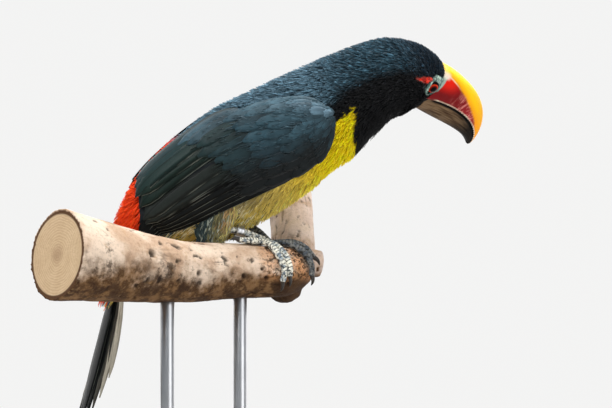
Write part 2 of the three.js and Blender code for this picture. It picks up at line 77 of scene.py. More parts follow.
# Centre of the left eyeball in the head's frame, and its radius.
EYE = {"x": -13.2, "y": 11.6, "z": 3.2, "radius": 4.4}
# The folded wing's upper and lower edges, in degrees round the body at its sections.
WING = {
    "section": [1.5, 2.1, 2.9, 4, 5.2, 6.2, 6.9, 7.3, 7.5],
    "upper": [168, 146, 112, 116, 126, 136, 153, 168, 180],
    "lower": [176, 189, 197, 206, 211, 215, 206, 193, 183],
}


def smooth(keys, values, u):
    """Hermite curve through values at rising keys, each slope taken from the neighbours
    on either side, level past the ends."""
    keys, values = np.asarray(keys, float), np.asarray(values, float)
    u = np.clip(np.asarray(u, float), keys[0], keys[-1])
    last = len(keys) - 1
    before = np.maximum(np.arange(last + 1) - 1, 0)
    after = np.minimum(np.arange(last + 1) + 1, last)
    run = keys[after] - keys[before]
    i = np.clip(np.searchsorted(keys, u, side="right") - 1, 0, last - 1)
    h = keys[i + 1] - keys[i]
    t = (u - keys[i]) / h
    if values.ndim == 2:
        run, h, t = run[:, None], h[..., None], t[..., None]
    slope = (values[after] - values[before]) / run
    return (
        (2 * t**3 - 3 * t**2 + 1) * values[i]
        + (t**3 - 2 * t**2 + t) * h * slope[i]
        + (3 * t**2 - 2 * t**3) * values[i + 1]
        + (t**3 - t**2) * h * slope[i + 1]
    )


def bezier(points, t):
    """Point of the Bezier curve with these control points, by repeated halving between neighbours."""
    t = np.asarray(t, float)[..., None]
    rest = [np.asarray(p, float) for p in points]
    while len(rest) > 1:
        rest = [a * (1 - t) + b * t for a, b in zip(rest, rest[1:])]
    return rest[0]


def unit(v):
    """Directions of the vectors, each divided by its length."""
    return v / np.maximum(np.linalg.norm(v, axis=-1, keepdims=True), 1e-12)


def stack(*parts):
    """Coordinates given one by one, as points."""
    return np.stack(np.broadcast_arrays(*parts), axis=-1)


def turned(yaw, pitch, roll):
    """Forward, left and up directions after a yaw to the left, a pitch up and a roll to
    the right, in degrees."""
    y, p, r = np.radians(yaw), np.radians(pitch), np.radians(roll)
    forward = stack(np.cos(y) * np.cos(p), np.sin(y) * np.cos(p), np.sin(p))
    level = stack(-np.sin(y), np.cos(y), np.zeros_like(y))
    upright = np.cross(forward, level)
    c, s = np.cos(r)[..., None], np.sin(r)[..., None]
    return forward, level * c + upright * s, upright * c - level * s


def body(u, angle, grow=0.0):
    """Body surface: an oval ring at each section, with its own height above and below
    the centre. The angle is 0 at the left side and 90 at the back; grow moves the ring
    outwards."""
    u, angle, grow = np.broadcast_arrays(np.asarray(u, float), angle, grow)
    section = smooth(np.arange(LAST + 1), SECTIONS, u)
    x, y, z, yaw, pitch, roll, half, above, below = np.moveaxis(section, -1, 0)
    _, left, up = turned(yaw, pitch, roll)
    across, height = np.cos(np.radians(angle)), np.sin(np.radians(angle))
    height = height * (np.where(height > 0, above, below) + grow)
    return stack(x, y, z) + left * (across * (half + grow))[..., None] + up * height[..., None]


HEAD_FRAME = turned(*(np.array(HEAD[k]) for k in ("yaw", "pitch", "roll")))


def in_head(x, y, z):
    """Point of the head's own frame, x forward, y left and z up from the bill's base."""
    x, y, z = np.broadcast_arrays(np.asarray(x, float), y, z)
    f, left, up = HEAD_FRAME
    return np.asarray(HEAD["at"]) + x[..., None] * f + y[..., None] * left + z[..., None] * up


# ------------------------------------------------------------------ small tools


def rise(x, low, high):
    """Smooth step from 0 at low to 1 at high."""
    t = np.clip((np.asarray(x, float) - low) / (high - low), 0, 1)
    return t * t * (3 - 2 * t)


def tint(red, green, blue):
    """A colour given as screen values from 0 to 255, as linear light."""
    return (np.array([red, green, blue]) / 255) ** 2.2


def blend(colour, *coats):
    """A colour, or one for each point, with others laid over it in turn, each by its
    own share."""
    for other, share in coats:
        colour = colour + (other - colour) * np.asarray(share)[..., None]
    return colour


def field(points, size, seed):
    """Smooth random field from -1 to 1: values hashed at the corners of a lattice of
    this size, joined by smooth steps along the three axes."""
    q = np.asarray(points, float) / size + seed * 17.31
    base = np.floor(q)
    f = q - base
    f = f * f * (3 - 2 * f)
    total = 0.0
    for corner in np.ndindex(2, 2, 2):
        c = np.array(corner)
        h = np.sin((base + c) @ np.array([127.1, 311.7, 74.7])) * 43758.5453
        total = total + (h - np.floor(h)) * np.prod(np.where(c, f, 1 - f), axis=-1)
    return 2 * total - 1


def layers(points, size, seed):
    """Sum of three random fields, each half the size and half the strength of the last."""
    return sum(field(points, size / 2**k, seed + k) / 2**k for k in range(3))


def flesh(u, angle, grow=0.0):
    """Body surface carried on straight past its two ends."""
    u = np.asarray(u, float)
    inside = np.clip(u, 0, LAST)
    nudge = np.where(u < 0, 0.02, -0.02)
    p = body(inside, angle, grow)
    slope = (body(inside + nudge, angle, grow) - p) / nudge[..., None]
    return p + slope * (u - inside)[..., None]


def stretch(surface, u, v):
    """Slopes of a surface along u and v, in millimetres for each unit of either, with
    the direction that points out of it. Its steps say how far apart in u and v the
    points for them lie, and outward is -1 where u and v run the other way round."""
    step_u, step_v = surface.steps
    pu = (surface(u + step_u, v) - surface(u - step_u, v)) / (2 * step_u)
    pv = (surface(u, v + step_v) - surface(u, v - step_v)) / (2 * step_v)
    return pu, pv, surface.outward * unit(np.cross(pv, pu))


flesh.steps, flesh.outward = (0.02, 1.0), 1.0


def mesh_of(name, points, groups, maps=()):
    """A mesh from points in millimetres and arrays of faces with equal numbers of
    corners. It is turned right way out, as its signed volume says. Each map has a name
    and its coordinates, for every corner or for every point."""
    fans = [g[:, [0, k, k + 1]] for g in groups for k in range(1, g.shape[1] - 1)]
    a, b, c = np.moveaxis(points[np.concatenate(fans)], 1, 0)
    inside_out = np.einsum("ij,ij->", a - points.mean(0), np.cross(b, c)) < 0
    sizes = np.concatenate([np.full(len(g), g.shape[1]) for g in groups])
    order = [np.arange(g.size).reshape(g.shape) for g in groups]
    if inside_out:
        order = [o[:, ::-1] for o in order]
    shift = np.cumsum([0] + [g.size for g in groups[:-1]])
    order = np.concatenate([(o + s).ravel() for o, s in zip(order, shift)])
    corners = np.concatenate([g.ravel() for g in groups])[order]
    starts = np.concatenate([[0], np.cumsum(sizes)[:-1]])
    mesh = bpy.data.meshes.new(name)
    mesh.vertices.add(len(points))
    mesh.vertices.foreach_set("co", (points * MM).astype(np.float32).ravel())
    mesh.loops.add(len(corners))
    mesh.loops.foreach_set("vertex_index", corners.astype(np.int32))
    mesh.polygons.add(len(sizes))
    mesh.polygons.foreach_set("loop_start", starts.astype(np.int32))
    mesh.update(calc_edges=True)
    mesh.polygons.foreach_set("use_smooth", np.ones(len(sizes), bool))
    for map_name, places in maps:
        at = places[order] if len(places) == len(corners) else places[corners]
        mesh.uv_layers.new(name=map_name).data.foreach_set("uv", at.astype(np.float32).ravel())
    return mesh


def shown(name, mesh, material, replaces=(), colours=None, values=None):
    """Puts a mesh into the scene as a piece that rides on the model's one body. It may
    carry a colour for each point, and named numbers."""
    piece = bpy.data.objects.new(name, mesh)
    bpy.context.scene.collection.objects.link(piece)
    mesh.materials.append(material)
    if colours is not None:
        flat = np.concatenate([np.clip(colours, 0, 1), np.ones((len(colours), 1))], 1)
        layer = mesh.attributes.new("Colour", "FLOAT_COLOR", "POINT")
        layer.data.foreach_set("color", flat.astype(np.float32).ravel())
    for key, numbers in (values or {}).items():
        layer = mesh.attributes.new(key, "FLOAT", "POINT")
        layer.data.foreach_set("value", numbers.astype(np.float32).ravel())
    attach(piece, "root")
    if replaces:
        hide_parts(*replaces)
    return piece


def inset(places, margin=0.01):
    """Places on an unwrap from 0 to 1, drawn in from its border by a margin."""
    return margin + (1 - 2 * margin) * places


def moulded(name, shell, material, replaces=(), margin=0.01, colours=None, values=None):
    """A piece from a grid, whose fractions across and along are its baking map."""
    points, groups, uvs = shell
    mesh = mesh_of(name, points, groups, [("OFBake", inset(uvs, margin))])
    return shown(name, mesh, material, replaces, colours, values)


def grid(points, around=False, ends=False, loop=False):
    """Quads over a grid of points, row by row. around joins the last column to the
    first, loop the last row to the first, and ends closes the first and last rows with
    fans over their centres. Gives the points, the face arrays, and (column, row)
    fractions at each corner."""
    rows, columns = points.shape[:2]
    wide, high = columns if around else columns - 1, rows if loop else rows - 1
    i, j = np.meshgrid(np.arange(high), np.arange(wide), indexing="ij")
    ahead, above = (j + 1) % columns, (i + 1) % rows
    quads = np.stack([i * columns + j, i * columns + ahead, above * columns + ahead, above * columns + j], -1)
    across = np.stack([j, j + 1, j + 1, j], -1) / wide
    along = np.stack([i, i, i + 1, i + 1], -1) / high
    flat = points.reshape(-1, 3)
    groups, uvs = [quads.reshape(-1, 4)], [np.stack([across, along], -1).reshape(-1, 2)]
    if ends:
        hubs = np.stack([points[0].mean(0), points[-1].mean(0)])
        j = np.arange(wide)
        first = np.stack([(j + 1) % columns, j, np.full(wide, rows * columns)], -1)
        last = np.stack([j, (j + 1) % columns, np.full(wide, 1)], -1)
        last[:, :2] += (rows - 1) * columns
        last[:, 2] = rows * columns + 1
        groups.append(np.concatenate([first, last]))
        lift = np.repeat([0.0, 1.0], wide)
        side = np.concatenate([np.stack([j + 1, j, j + 0.5], -1), np.stack([j, j + 1, j + 0.5], -1)]) / wide
        uvs.append(np.stack([side, np.repeat(lift[:, None], 3, 1)], -1).reshape(-1, 2))
        flat = np.concatenate([flat, hubs])
    return flat, groups, np.concatenate(uvs)


def with_hubs(values):
    """Values over a grid, followed by the means of its first and last rows, for the two
    points that close it."""
    return np.concatenate([values.reshape(-1, *values.shape[2:]), values[[0, -1]].mean(1)])


def gathered(parts):
    """Points and face arrays of several parts as one. Faces are put in order of their
    number of corners."""
    shift, points, faces = 0, [], {}
    for here, groups in parts:
        points.append(here)
        for g in groups:
            faces.setdefault(g.shape[1], []).append(g + shift)
        shift += len(here)
    return np.concatenate(points), [np.concatenate(faces[k]) for k in sorted(faces)]


def joined(grids):
    """Several grids as one, their corner fractions following the faces."""
    points, groups = gathered([g[:2] for g in grids])
    fractions = {}
    for _, faces, uvs in grids:
        cuts = np.cumsum([f.size for f in faces])[:-1]
        for f, part in zip(faces, np.split(uvs, cuts)):
            fractions.setdefault(f.shape[1], []).append(part)
    return points, groups, np.concatenate([part for k in sorted(fractions) for part in fractions[k]])


# ------------------------------------------------------------- shader expressions


class Value:
    """The output of a shader node. Operators on it add Math nodes."""

    def __init__(self, look, socket):
        self.look, self.socket = look, socket

    def math(self, operation, *inputs):
        """A Math node with this operation on these inputs."""
        return self.look.node("ShaderNodeMath", {"operation": operation}, dict(enumerate(inputs)))

    def __add__(self, other):
        return self.math("ADD", self, other)

    def __sub__(self, other):
        return self.math("SUBTRACT", self, other)

    def __rsub__(self, other):
        return self.math("SUBTRACT", other, self)

    def __mul__(self, other):
        return self.math("MULTIPLY", self, other)

    def __truediv__(self, other):
        return self.math("DIVIDE", self, other)

    def __rtruediv__(self, other):
        return self.math("DIVIDE", other, self)

    def __pow__(self, other):
        return self.math("POWER", self, other)

    __radd__, __rmul__ = __add__, __mul__

    def sine(self):
        return self.math("SINE", self)

    def distance(self):
        """How far the value is from 0."""
        return self.math("ABSOLUTE", self)

    def rise(self, low, high):
        """Smooth step from 0 at low to 1 at high."""
        inputs = {"Value": self, "From Min": low, "From Max": high}
        return self.look.node("ShaderNodeMapRange", {"interpolation_type": "SMOOTHSTEP"}, inputs, "Result")


class Look:
    """One material: a Principled shader and the nodes that feed it."""

    def __init__(self, name, roughness, **constants):
        self.material = bpy.data.materials.new(name)
        self.material.use_nodes = True
        self.tree = self.material.node_tree
        self.shader = self.tree.nodes["Principled BSDF"]
        self.shader.inputs["Roughness"].default_value = roughness
        for key, value in constants.items():
            self.shader.inputs[key.replace("_", " ")].default_value = value
        self.object = self.node("ShaderNodeTexCoord", output="Object")

    def node(self, kind, settings=None, inputs=None, output=0):
        """One output of a new node of this type. Its settings are set first, then its
        inputs are given values or linked."""
        node = self.tree.nodes.new(kind)
        for key, value in (settings or {}).items():
            setattr(node, key, value)
        for key, value in (inputs or {}).items():
            if isinstance(value, Value):
                self.tree.links.new(value.socket, node.inputs[key])
            else:
                node.inputs[key].default_value = value
        return Value(self, node.outputs[output])

    def mix(self, factor, a, b, how="MIX"):
        """Colour a with colour b over it by this factor."""
        first, second = (c if isinstance(c, Value) else (*c, 1) for c in (a, b))
        settings = {"data_type": "RGBA", "blend_type": how}
        return self.node("ShaderNodeMix", settings, {0: factor, 6: first, 7: second}, 2)

    def over(self, colour, *coats):
        """A colour with others laid over it in turn, each by its own share."""
        for other, share in coats:
            colour = self.mix(share, colour, other)
        return colour

    def shaded(self, colour, shade):
        """A colour made lighter or darker by this number."""
        return self.mix(1.0, colour, self.join(shade, shade, shade), "MULTIPLY")

    def attribute(self, name, output="Fac"):
        return self.node("ShaderNodeAttribute", {"attribute_name": name}, output=output)

    def painted(self):
        """The colour that the piece carries at each point."""
        return self.attribute("Colour", "Color")

    def split(self, vector):
        """The three numbers of a vector."""
        parts = self.node("ShaderNodeSeparateXYZ", inputs={0: vector}).socket.node
        return [Value(self, socket) for socket in parts.outputs]

    def map(self, name):
        """Coordinates on one of the piece's maps."""
        return self.split(self.node("ShaderNodeUVMap", {"uv_map": name}))

    def join(self, x, y, z=0.0):
        return self.node("ShaderNodeCombineXYZ", inputs={0: x, 1: y, 2: z})

    def noise(self, vector, scale, detail=3.0, roughness=0.55):
        inputs = {"Vector": vector, "Scale": scale, "Detail": detail, "Roughness": roughness}
        return self.node("ShaderNodeTexNoise", inputs=inputs, output="Fac")

    def cells(self, vector, scale):
        """Distance from the nearest of a scatter of points."""
        inputs = {"Vector": vector, "Scale": scale}
        return self.node("ShaderNodeTexVoronoi", {"feature": "F1"}, inputs, "Distance")

    def stretched(self, vector, by):
        """A vector with each of its numbers multiplied."""
        return self.node("ShaderNodeVectorMath", {"operation": "MULTIPLY"}, {0: vector, 1: by})

    def feed(self, **inputs):
        """Links values to the shader's inputs of these names."""
        for key, value in inputs.items():
            self.tree.links.new(value.socket, self.shader.inputs[key.replace("_", " ")])

    def bump(self, height, depth, strength=1.0):
        """Bump of this height field, which stands depth metres high at 1."""
        inputs = {"Height": height, "Distance": depth, "Strength": strength}
        self.feed(Normal=self.node("ShaderNodeBump", inputs=inputs))


# ---------------------------------------------------------------- feather shapes

# Outlines of a feather cut across: (place from edge to edge, height as a share of
# its thickness), going round.
STRAND = [(-1, 0), (1, 0), (0, 1)]
SMALL_VANE = [(-1, 0), (0, -0.4), (1, 0), (0, 0.6)]
WIDE_VANE = [(-1, 0), (-0.5, -0.5), (0, -0.6), (0.5, -0.5), (1, 0), (0.5, 0.4), (0, 1), (-0.5, 0.4)]
# Half-widths of short feathers at their rings, as shares, by the number of rings.
TAPER = {3: [0.5, 1, 0.16], 4: [0.5, 1, 0.8, 0.14], 5: [0.3, 0.9, 1, 0.7, 0.1]}
# Each feather's patch on the baking map is this wide.
PATCH = 0.003


def vanes(line, normal, half, thick, drop, outline, home, colour):
    """Closed feathers. line (feather, ring, 3) runs from root to tip, and normal points
    up from it. Across a ring, a corner is at line + side * place * half + up *
    (height * thick - drop * place squared). home is the root's place on the unwrap of
    what it grows from, where the feather's patch of the baking map lies. colour is
    (feather, ring, 3). The vane map runs across and along."""
    n, rings = line.shape[:2]
    tangent = unit(np.gradient(line, axis=1))
    side = unit(np.cross(tangent, normal))
    up = np.cross(side, tangent)
    place, height = np.array(outline, float).T
    k = len(place)
    half, thick, drop = (np.broadcast_to(x, (n, rings))[..., None] for x in (half, thick, drop))
    points = (
        line[:, :, None]
        + side[:, :, None] * (half * place)[..., None]
        + up[:, :, None] * (height * thick - drop * place**2)[..., None]
    )
    i, j = np.meshgrid(np.arange(rings - 1), np.arange(k), indexing="ij")
    ahead = (j + 1) % k
    quads = np.stack([i * k + j, i * k + ahead, (i + 1) * k + ahead, (i + 1) * k + j], -1).reshape(-1, 4)
    caps = np.stack([np.arange(k)[::-1], np.arange(k) + (rings - 1) * k])
    starts = np.arange(n)[:, None, None] * rings * k
    groups = [(starts + quads).reshape(-1, 4), (starts + caps).reshape(-1, k)]
    if k == 4:
        groups = [np.concatenate(groups)]
    vane = stack((place + 1) / 2, np.linspace(0, 1, rings)[:, None])
    vane = np.broadcast_to(vane, (n, rings, k, 2))
    bake = home[:, None, None] + PATCH * vane
    tones = np.broadcast_to(colour[:, :, None], (n, rings, k, 3))
    flat = points.reshape(-1, 3)
    return flat, groups, vane.reshape(-1, 2), bake.reshape(-1, 2), tones.reshape(-1, 3)


def coat(name, batches, material, replaces=()):
    """One piece from batches of feathers that vanes() made."""
    points, groups = gathered([batch[:2] for batch in batches])
    vane, bake, tones = (np.concatenate([batch[k] for batch in batches]) for k in (2, 3, 4))
    mesh = mesh_of(name, points, groups, [("vane", vane), ("OFBake", bake)])
    return shown(name, mesh, material, replaces, colours=tones)


def run_along(points):
    """Distance along a line of points from its first one."""
    return np.concatenate([[0], np.cumsum(np.linalg.norm(np.diff(points, axis=0), axis=-1))])


def rows_on(surface, u_span, v_span, row_gap, gap, rng):
    """Places over part of a surface in staggered rows: rows row_gap millimetres apart
    along u, and in each row places gap apart along v, all a little out of line."""
    jitter = 0.35
    u = np.linspace(*u_span, 60)
    v = np.linspace(*v_span, 24)
    lines = surface(u[:, None], v[None, :])
    reach = np.concatenate([[0], np.cumsum(np.linalg.norm(np.diff(lines, axis=0), axis=-1).mean(1))])
    count = max(2, int(reach[-1] / row_gap))
    rows = np.interp((np.arange(count) + 0.5) / count * reach[-1], reach, u)
    across = np.linspace(*v_span, 48)
    us, vs = [], []
    for k, row in enumerate(rows):
        run = run_along(surface(np.full(48, row), across))
        n = max(1, int(run[-1] / gap))
        places = (np.arange(n) + 0.25 + 0.5 * (k % 2) + jitter * rng.uniform(-1, 1, n)) / n
        vs.append(np.interp(places * run[-1], run, across))
        us.append(row + jitter * rng.uniform(-1, 1, n) * (rows[1] - rows[0]))
    return np.concatenate(us), np.concatenate(vs)


def laid(surface, u, v, length, turn, root, tip, rings, curve=1.6):
    """Mid-lines of feathers that lie on a surface: from (u, v) backwards along -u, the
    way turned by so many degrees towards +v, their height going from root to tip as
    the given power of the way along. With them, the surface's outward direction."""
    pu, pv, _ = stretch(surface, u, v)
    du, dv = np.linalg.norm(pu, axis=-1), np.linalg.norm(pv, axis=-1)
    s = np.linspace(0, 1, rings)
    c, t = np.cos(np.radians(turn)), np.sin(np.radians(turn))
    uu = u[:, None] - (length * c / du)[:, None] * s
    vv = v[:, None] + (length * t / dv)[:, None] * s
    height = np.asarray(root)[..., None] + np.asarray(tip - root)[..., None] * s**curve
    line = surface(uu, vv, height)
    return line, stretch(surface, uu, vv)[2]


# ------------------------------------------------------------- the body's colours

INK = tint(7, 9, 13)
CAP = tint(28, 44, 56)
NAPE = tint(45, 69, 81)
MANTLE = tint(74, 100, 114)
YELLOW = tint(255, 222, 8)
BELLY = tint(218, 192, 94)
FLANK = tint(160, 144, 96)
RUMP = tint(255, 70, 16)
VENT = tint(210, 184, 96)
BARE = tint(96, 132, 124)
BARE_PALE = tint(176, 198, 184)
BARE_RED = tint(232, 44, 12)

# Borders between the colours. The first three give degrees from the middle of the back
# at sections of the body: where the black of head and neck begins, where the breast's
# yellow begins, and how far down the rump's red reaches. The last gives the section of
# the bib's edge at so many degrees.
DARK_SIDE = ([0, 6.6, 7.4, 8.2, 9, 10, 11, 13], [92, 92, 84, 70, 66, 67, 72, 75])
BREAST_TOP = ([0, 2, 5, 7.0, 7.53, 7.75, 7.96, 8.1, 8.4], [120, 112, 104, 100, 100, 100, 99, 96, 92])
RUMP_SIDE = ([0, 1.7, 2.16, 2.47, 3.0, 3.7, 4.6], [78, 72, 62, 52, 38, 26, 10])
BIB_EDGE = ([80, 92, 108, 132, 180], [8.2, 8.23, 8.14, 8.05, 8.07])


def from_back(angle):
    """Degrees from the middle of the back: 0 there, 90 at the sides, 180 below."""
    return np.abs((np.asarray(angle, float) - 90 + 180) % 360 - 180)


def to_head(points):
    """Points in the head's own frame."""
    return (points - np.asarray(HEAD["at"])) @ np.stack(HEAD_FRAME).T


def oval(x, z, centre, half, tilt=0.0):
    """Distance from an oval's centre as a share of its own radius that way."""
    c, s = np.cos(np.radians(tilt)), np.sin(np.radians(tilt))
    dx, dz = x - centre[0], z - centre[1]
    return np.hypot((dx * c + dz * s) / half[0], (dz * c - dx * s) / half[1])


def bare_face(points):
    """How far the face is bare at these points, from 0 to 1: an oval round the eye
    that reaches the bill, and the narrow red patch behind and above it."""
    x, _, z = np.moveaxis(to_head(points), -1, 0)
    ragged = 0.12 * field(points, 1.3, 6)
    around_eye = 1 - rise(oval(x, z, (-11.5, 4.3), (11.3, 5.6), 14) + ragged, 0.9, 1.05)
    behind = 1 - rise(oval(x, z, (-26.4, 5.6), (7.8, 1.75), 12) + 2.4 * ragged, 0.85, 1.1)
    return np.maximum(around_eye, behind), behind * (1 - 0.75 * around_eye)


def markings(u, angle):
    """Colour of the body at a place on it. From the back downwards it is blue-grey, with
    a dark cap and black cheeks, throat and bib; the breast is yellow from the bib's
    upright edge back, the belly duller; the rump is red, and what is under the tail
    yellow again. Borders wander by a field of about a feather's size."""
    u, angle = np.broadcast_arrays(np.asarray(u, float), angle)
    here = flesh(u, angle)
    wander = field(here, 2.6, 3) + 0.5 * field(here, 1.1, 5)
    a = from_back(angle) + 2.2 * wander
    v = u + 0.035 * wander
    dark_side, upper = smooth(*DARK_SIDE, v), smooth(*BREAST_TOP, v)
    gold = blend(
        YELLOW,
        (BELLY, rise(7.0 - v, 0, 2.1)),
        (FLANK, rise(5.4 - v, 0, 1.2) * rise(146 - a, 0, 18) * rise(v, 2.6, 3.4)),
        (VENT, rise(3.4 - v, 0, 0.8)),
    )
    return blend(
        MANTLE,
        (NAPE, rise(v, 7.2, 8.6)),
        (CAP, rise(v, 8.8, 10.2)),
        (MANTLE * 0.72, rise(4.4 - v, 0, 1.6)),
        (INK, rise(a, dark_side - 12, dark_side + 8) * rise(v, 6.6, 7.6)),
        (gold, rise(a, upper - 2, upper + 2) * rise(smooth(*BIB_EDGE, a) - v, -0.02, 0.03)),
        (RUMP, rise(smooth(*RUMP_SIDE, v) - a, -4, 4) * rise(4.3 - v, 0, 0.5)),
    )


def skin_colour(u, angle):
    """The body's colour with the bare face over it."""
    here = flesh(u, angle)
    bare, red = bare_face(here)
    wander = 0.5 + 0.5 * field(here, 2.2, 8)
    face = blend(BARE * 0.7, (BARE_PALE * 1.1, rise(wander, 0.25, 0.8)))
    streaks = rise(field(to_head(here), np.array([2.6, 0.7, 0.5]), 9), -0.1, 0.4)
    patch = blend(BARE_RED, (tint(120, 16, 8), 0.85 * streaks))
    return blend(markings(u, angle), (face, bare), (patch, red))


def bill_line(points):
    """Millimetres that points of the head lie behind the bill's base."""
    x, _, z = np.moveaxis(to_head(points), -1, 0)
    up = np.clip((z + 5) / 19.3, 0, 1.2)
    down = np.clip((-5 - z) / 9.5, 0, 1.2)
    return -8 + 6 * up + 5 * down - x


# The coat's depth from the skin to the feathers' tips, at the sections.
DEPTH = ([0, 1, 3, 5, 8, 9, 10, 11, 12, 13], [1.6, 2.2, 3.2, 3.6, 3.4, 2.6, 1.9, 1.3, 1.0, 1.0])
# Places of the two heels, where the thighs end and the bare legs start.
HEELS = {"right": (-3, -14, 137), "left": (18, 12, 140)}


def depth(u):
    """The coat's depth at sections of the body."""
    return smooth(*DEPTH, u)


def thigh_surface(side):
    """The feathered thigh: ovals round a line from the flank down to the heel, where
    they narrow. Its u falls from 1 at the top to 0, and its v is the angle round."""
    x, y, z = HEELS[side]
    out = np.sign(y)

    def surface(u, v, height=0.0):
        u, v, height = np.broadcast_arrays(np.asarray(u, float), v, height)
        swell = np.sqrt(np.maximum(0.2, 1 - (1 - np.clip(u, 0, 1)) ** 5))
        rx = (11.5 + 2 * u) * swell + height
        ry = (5.5 + 2.5 * u) * swell + height
        c, s = np.cos(np.radians(v)), np.sin(np.radians(v))
        return stack(x - 3.5 + 6.5 * u + rx * c, y + out * (1.5 - 1.5 * u) + ry * s, z - 7.5 + 23 * u)

    surface.steps, surface.outward = (0.01, 1.0), 1.0
    return surface


def lobes(points):
    """The skin drawn down into the two thighs: near the place where each starts, points
    move towards its heel by a smooth bell."""
    for side, (x, y, z) in HEELS.items():
        start = thigh_surface(side)(0.85, 0, -12.0)
        target = np.array([x - 1.0, y, z + 2.0])
        bell = 1 - rise(np.linalg.norm(points - start, axis=-1), 1.0, 15.0)
        points = points + bell[..., None] * (target - points) * 0.82
    return points


def face_out(side):
    """The way an eye looks, in the head's frame, with two directions across it."""
    out = unit(np.array([-0.2, side, -0.16]))
    ahead = unit(np.array([1.0, 0, 0]) - out * out[0])
    return out, ahead, np.cross(ahead, out) * side


def eye_view(points, side):
    """Points of the head as seen along an eye's axis: forward, up and out from the
    eyeball's centre."""
    out, ahead, up = face_out(side)
    centre = np.array([EYE["x"], EYE["y"] * side, EYE["z"]])
    return np.moveaxis((to_head(points) - centre) @ np.stack([ahead, up, out]).T, -1, 0)


def sockets(points):
    """How deep the skin is drawn in under the lids of the two eyes."""
    total = 0.0
    for side in (-1, 1):
        across, up, out = eye_view(points, side)
        total = total + 2.8 * (1 - rise(np.hypot(across, up), 3.4, 5.6)) * (out > 0)
    return total


def build_skin():
    """One closed skin over tail root, trunk, neck, head and thighs, the coat's depth
    inside the body, and nearly at its surface where the face is bare."""
    u = np.concatenate([np.linspace(0, 9, 150), np.linspace(9, LAST, 130)[1:]])
    uu, angle = np.meshgrid(u, np.arange(0, 360, 2.0), indexing="ij")
    here = flesh(uu, angle)
    bare, _ = bare_face(here)
    folds = 0.16 * field(to_head(here), (1.6, 1.6, 0.5), 4)
    sink = depth(uu) * (1 - bare) + (0.45 + folds) * bare + sockets(here)
    points, groups, uvs = grid(lobes(flesh(uu, angle, -sink)), around=True, ends=True)
    uvs[:, 1] = np.interp(uvs[:, 1], np.linspace(0, 1, len(u)), u / LAST)
    mesh = mesh_of("skin", points, groups, [("OFBake", body_unwrap(uvs))])
    replaces = ("trunk", "neck", "head", "thigh_right", "thigh_left")
    return shown("skin", mesh, skin_look(), replaces, with_hubs(skin_colour(uu, angle)),
                 {"bare": np.concatenate([bare.ravel(), [0, 0]])})


# ----------------------------------------------------------------- body plumage


def dyed(colour, rng, rings, root=0.5, tip=1.15, spread=0.16, bright=0.0):
    """Feather colours: each feather a little lighter or darker than its place on the
    body, darker at its root, painted shade where it lies under the feathers over it,
    and paler at its tip, a painted highlight. Of the feathers, a quarter catch the
    light in painted highlights: they are brighter by this share, and the others darker
    by a third of it."""
    own = np.exp(spread * rng.normal(size=len(colour)))
    # A quarter of the feathers get a painted highlight, the rest a little painted shade.
    own = own * np.where(rng.uniform(size=len(colour)) < 0.25, 1 + bright, 1 - bright / 3)
    # Painted shade towards the root, painted highlight towards the tip.
    along = np.interp(np.linspace(0, 1, rings), [0, 0.5, 1], [root, 1, tip])
    return colour[:, None] * own[:, None, None] * along[:, None]


def under_wing(u, angle, margin):
    """True where a folded wing covers the body by more than this many degrees."""
    upper, lower = (smooth(WING["section"], WING[edge], u) for edge in ("upper", "lower"))
    covered = np.zeros(np.shape(u), bool)
    for a in (angle % 360, (180 - angle) % 360):
        covered |= (u > 1.6) & (u < 7.35) & (a > upper + margin) & (a < lower - margin)
    return covered


def flecked(colour, u, angle, rng):
    """Belly strands of several colours: the further back, the more of them are pale or
    grey-brown."""
    low = 0.6 + 0.4 * rise(140 - from_back(angle), 0, 20)
    chance = 0.36 * rise(5.4 - u, 0, 1.3) * rise(u, 0.8, 1.6) * low
    pick = rng.uniform(size=len(u))
    return blend(colour, (tint(232, 222, 176), pick < chance), (tint(112, 100, 68), pick > 1 - 0.8 * chance))


def body_unwrap(fractions):
    """Places on the body's baking map, which leaves room for a feather's patch at its
    border."""
    return 0.002 + 0.99 * fractions


def body_home(u, angle):
    """Where a place on the body lies on its baking map."""
    return body_unwrap(stack(angle % 360 / 360, np.clip(u, 0, LAST) / LAST))


def plumage(rng, u_span, row_gap, gap, length, half, band=(0, 180), outline=STRAND, rings=3, tip=-0.1,
            thick=0.22, turn=9.0, root=0.5, paler=1.15, spread=0.16, bright=0.0, ruffle=0.3, flecks=False):
    """Feathers laid over the body between two sections, in staggered rows. length and
    half are pairs of a section and a size. The band is where they grow, in degrees from
    the middle of the back. tip is the height of their tips over the body, which ruffle
    varies; turn is how far they stray to either side. root, paler, spread and bright go
    to dyed()."""
    u, v = rows_on(flesh, u_span, (0, 360), row_gap, gap, rng)
    here, off = flesh(u, v), from_back(v)
    chosen = ~under_wing(u, v, 9) & (bare_face(here)[0] < 0.35) & (bill_line(here) > 0.1)
    chosen &= (off >= band[0]) & (off <= band[1])
    u, v = u[chosen], v[chosen]
    reach = smooth(*zip(*length), u) * np.exp(0.14 * rng.normal(size=len(u)))
    lift = tip + ruffle * rng.uniform(-1, 0.4, len(u))
    line, normal = laid(flesh, u, v, reach, turn * rng.normal(size=len(u)), -depth(u) - 0.1, lift, rings)
    behind = 0.65 * reach / np.linalg.norm(stretch(flesh, u, v)[0], axis=-1)
    size = smooth(*zip(*half), u) * np.exp(0.15 * rng.normal(size=len(u)))
    colour = skin_colour(u - behind, v)
    if flecks:
        colour = flecked(colour, u, v, rng)
    colour = dyed(colour, rng, rings, root, paler, spread, bright)
    wide = size[:, None] * np.array(TAPER[rings])
    return vanes(line, normal, wide, thick, 0.0, outline, body_home(u, v), colour)


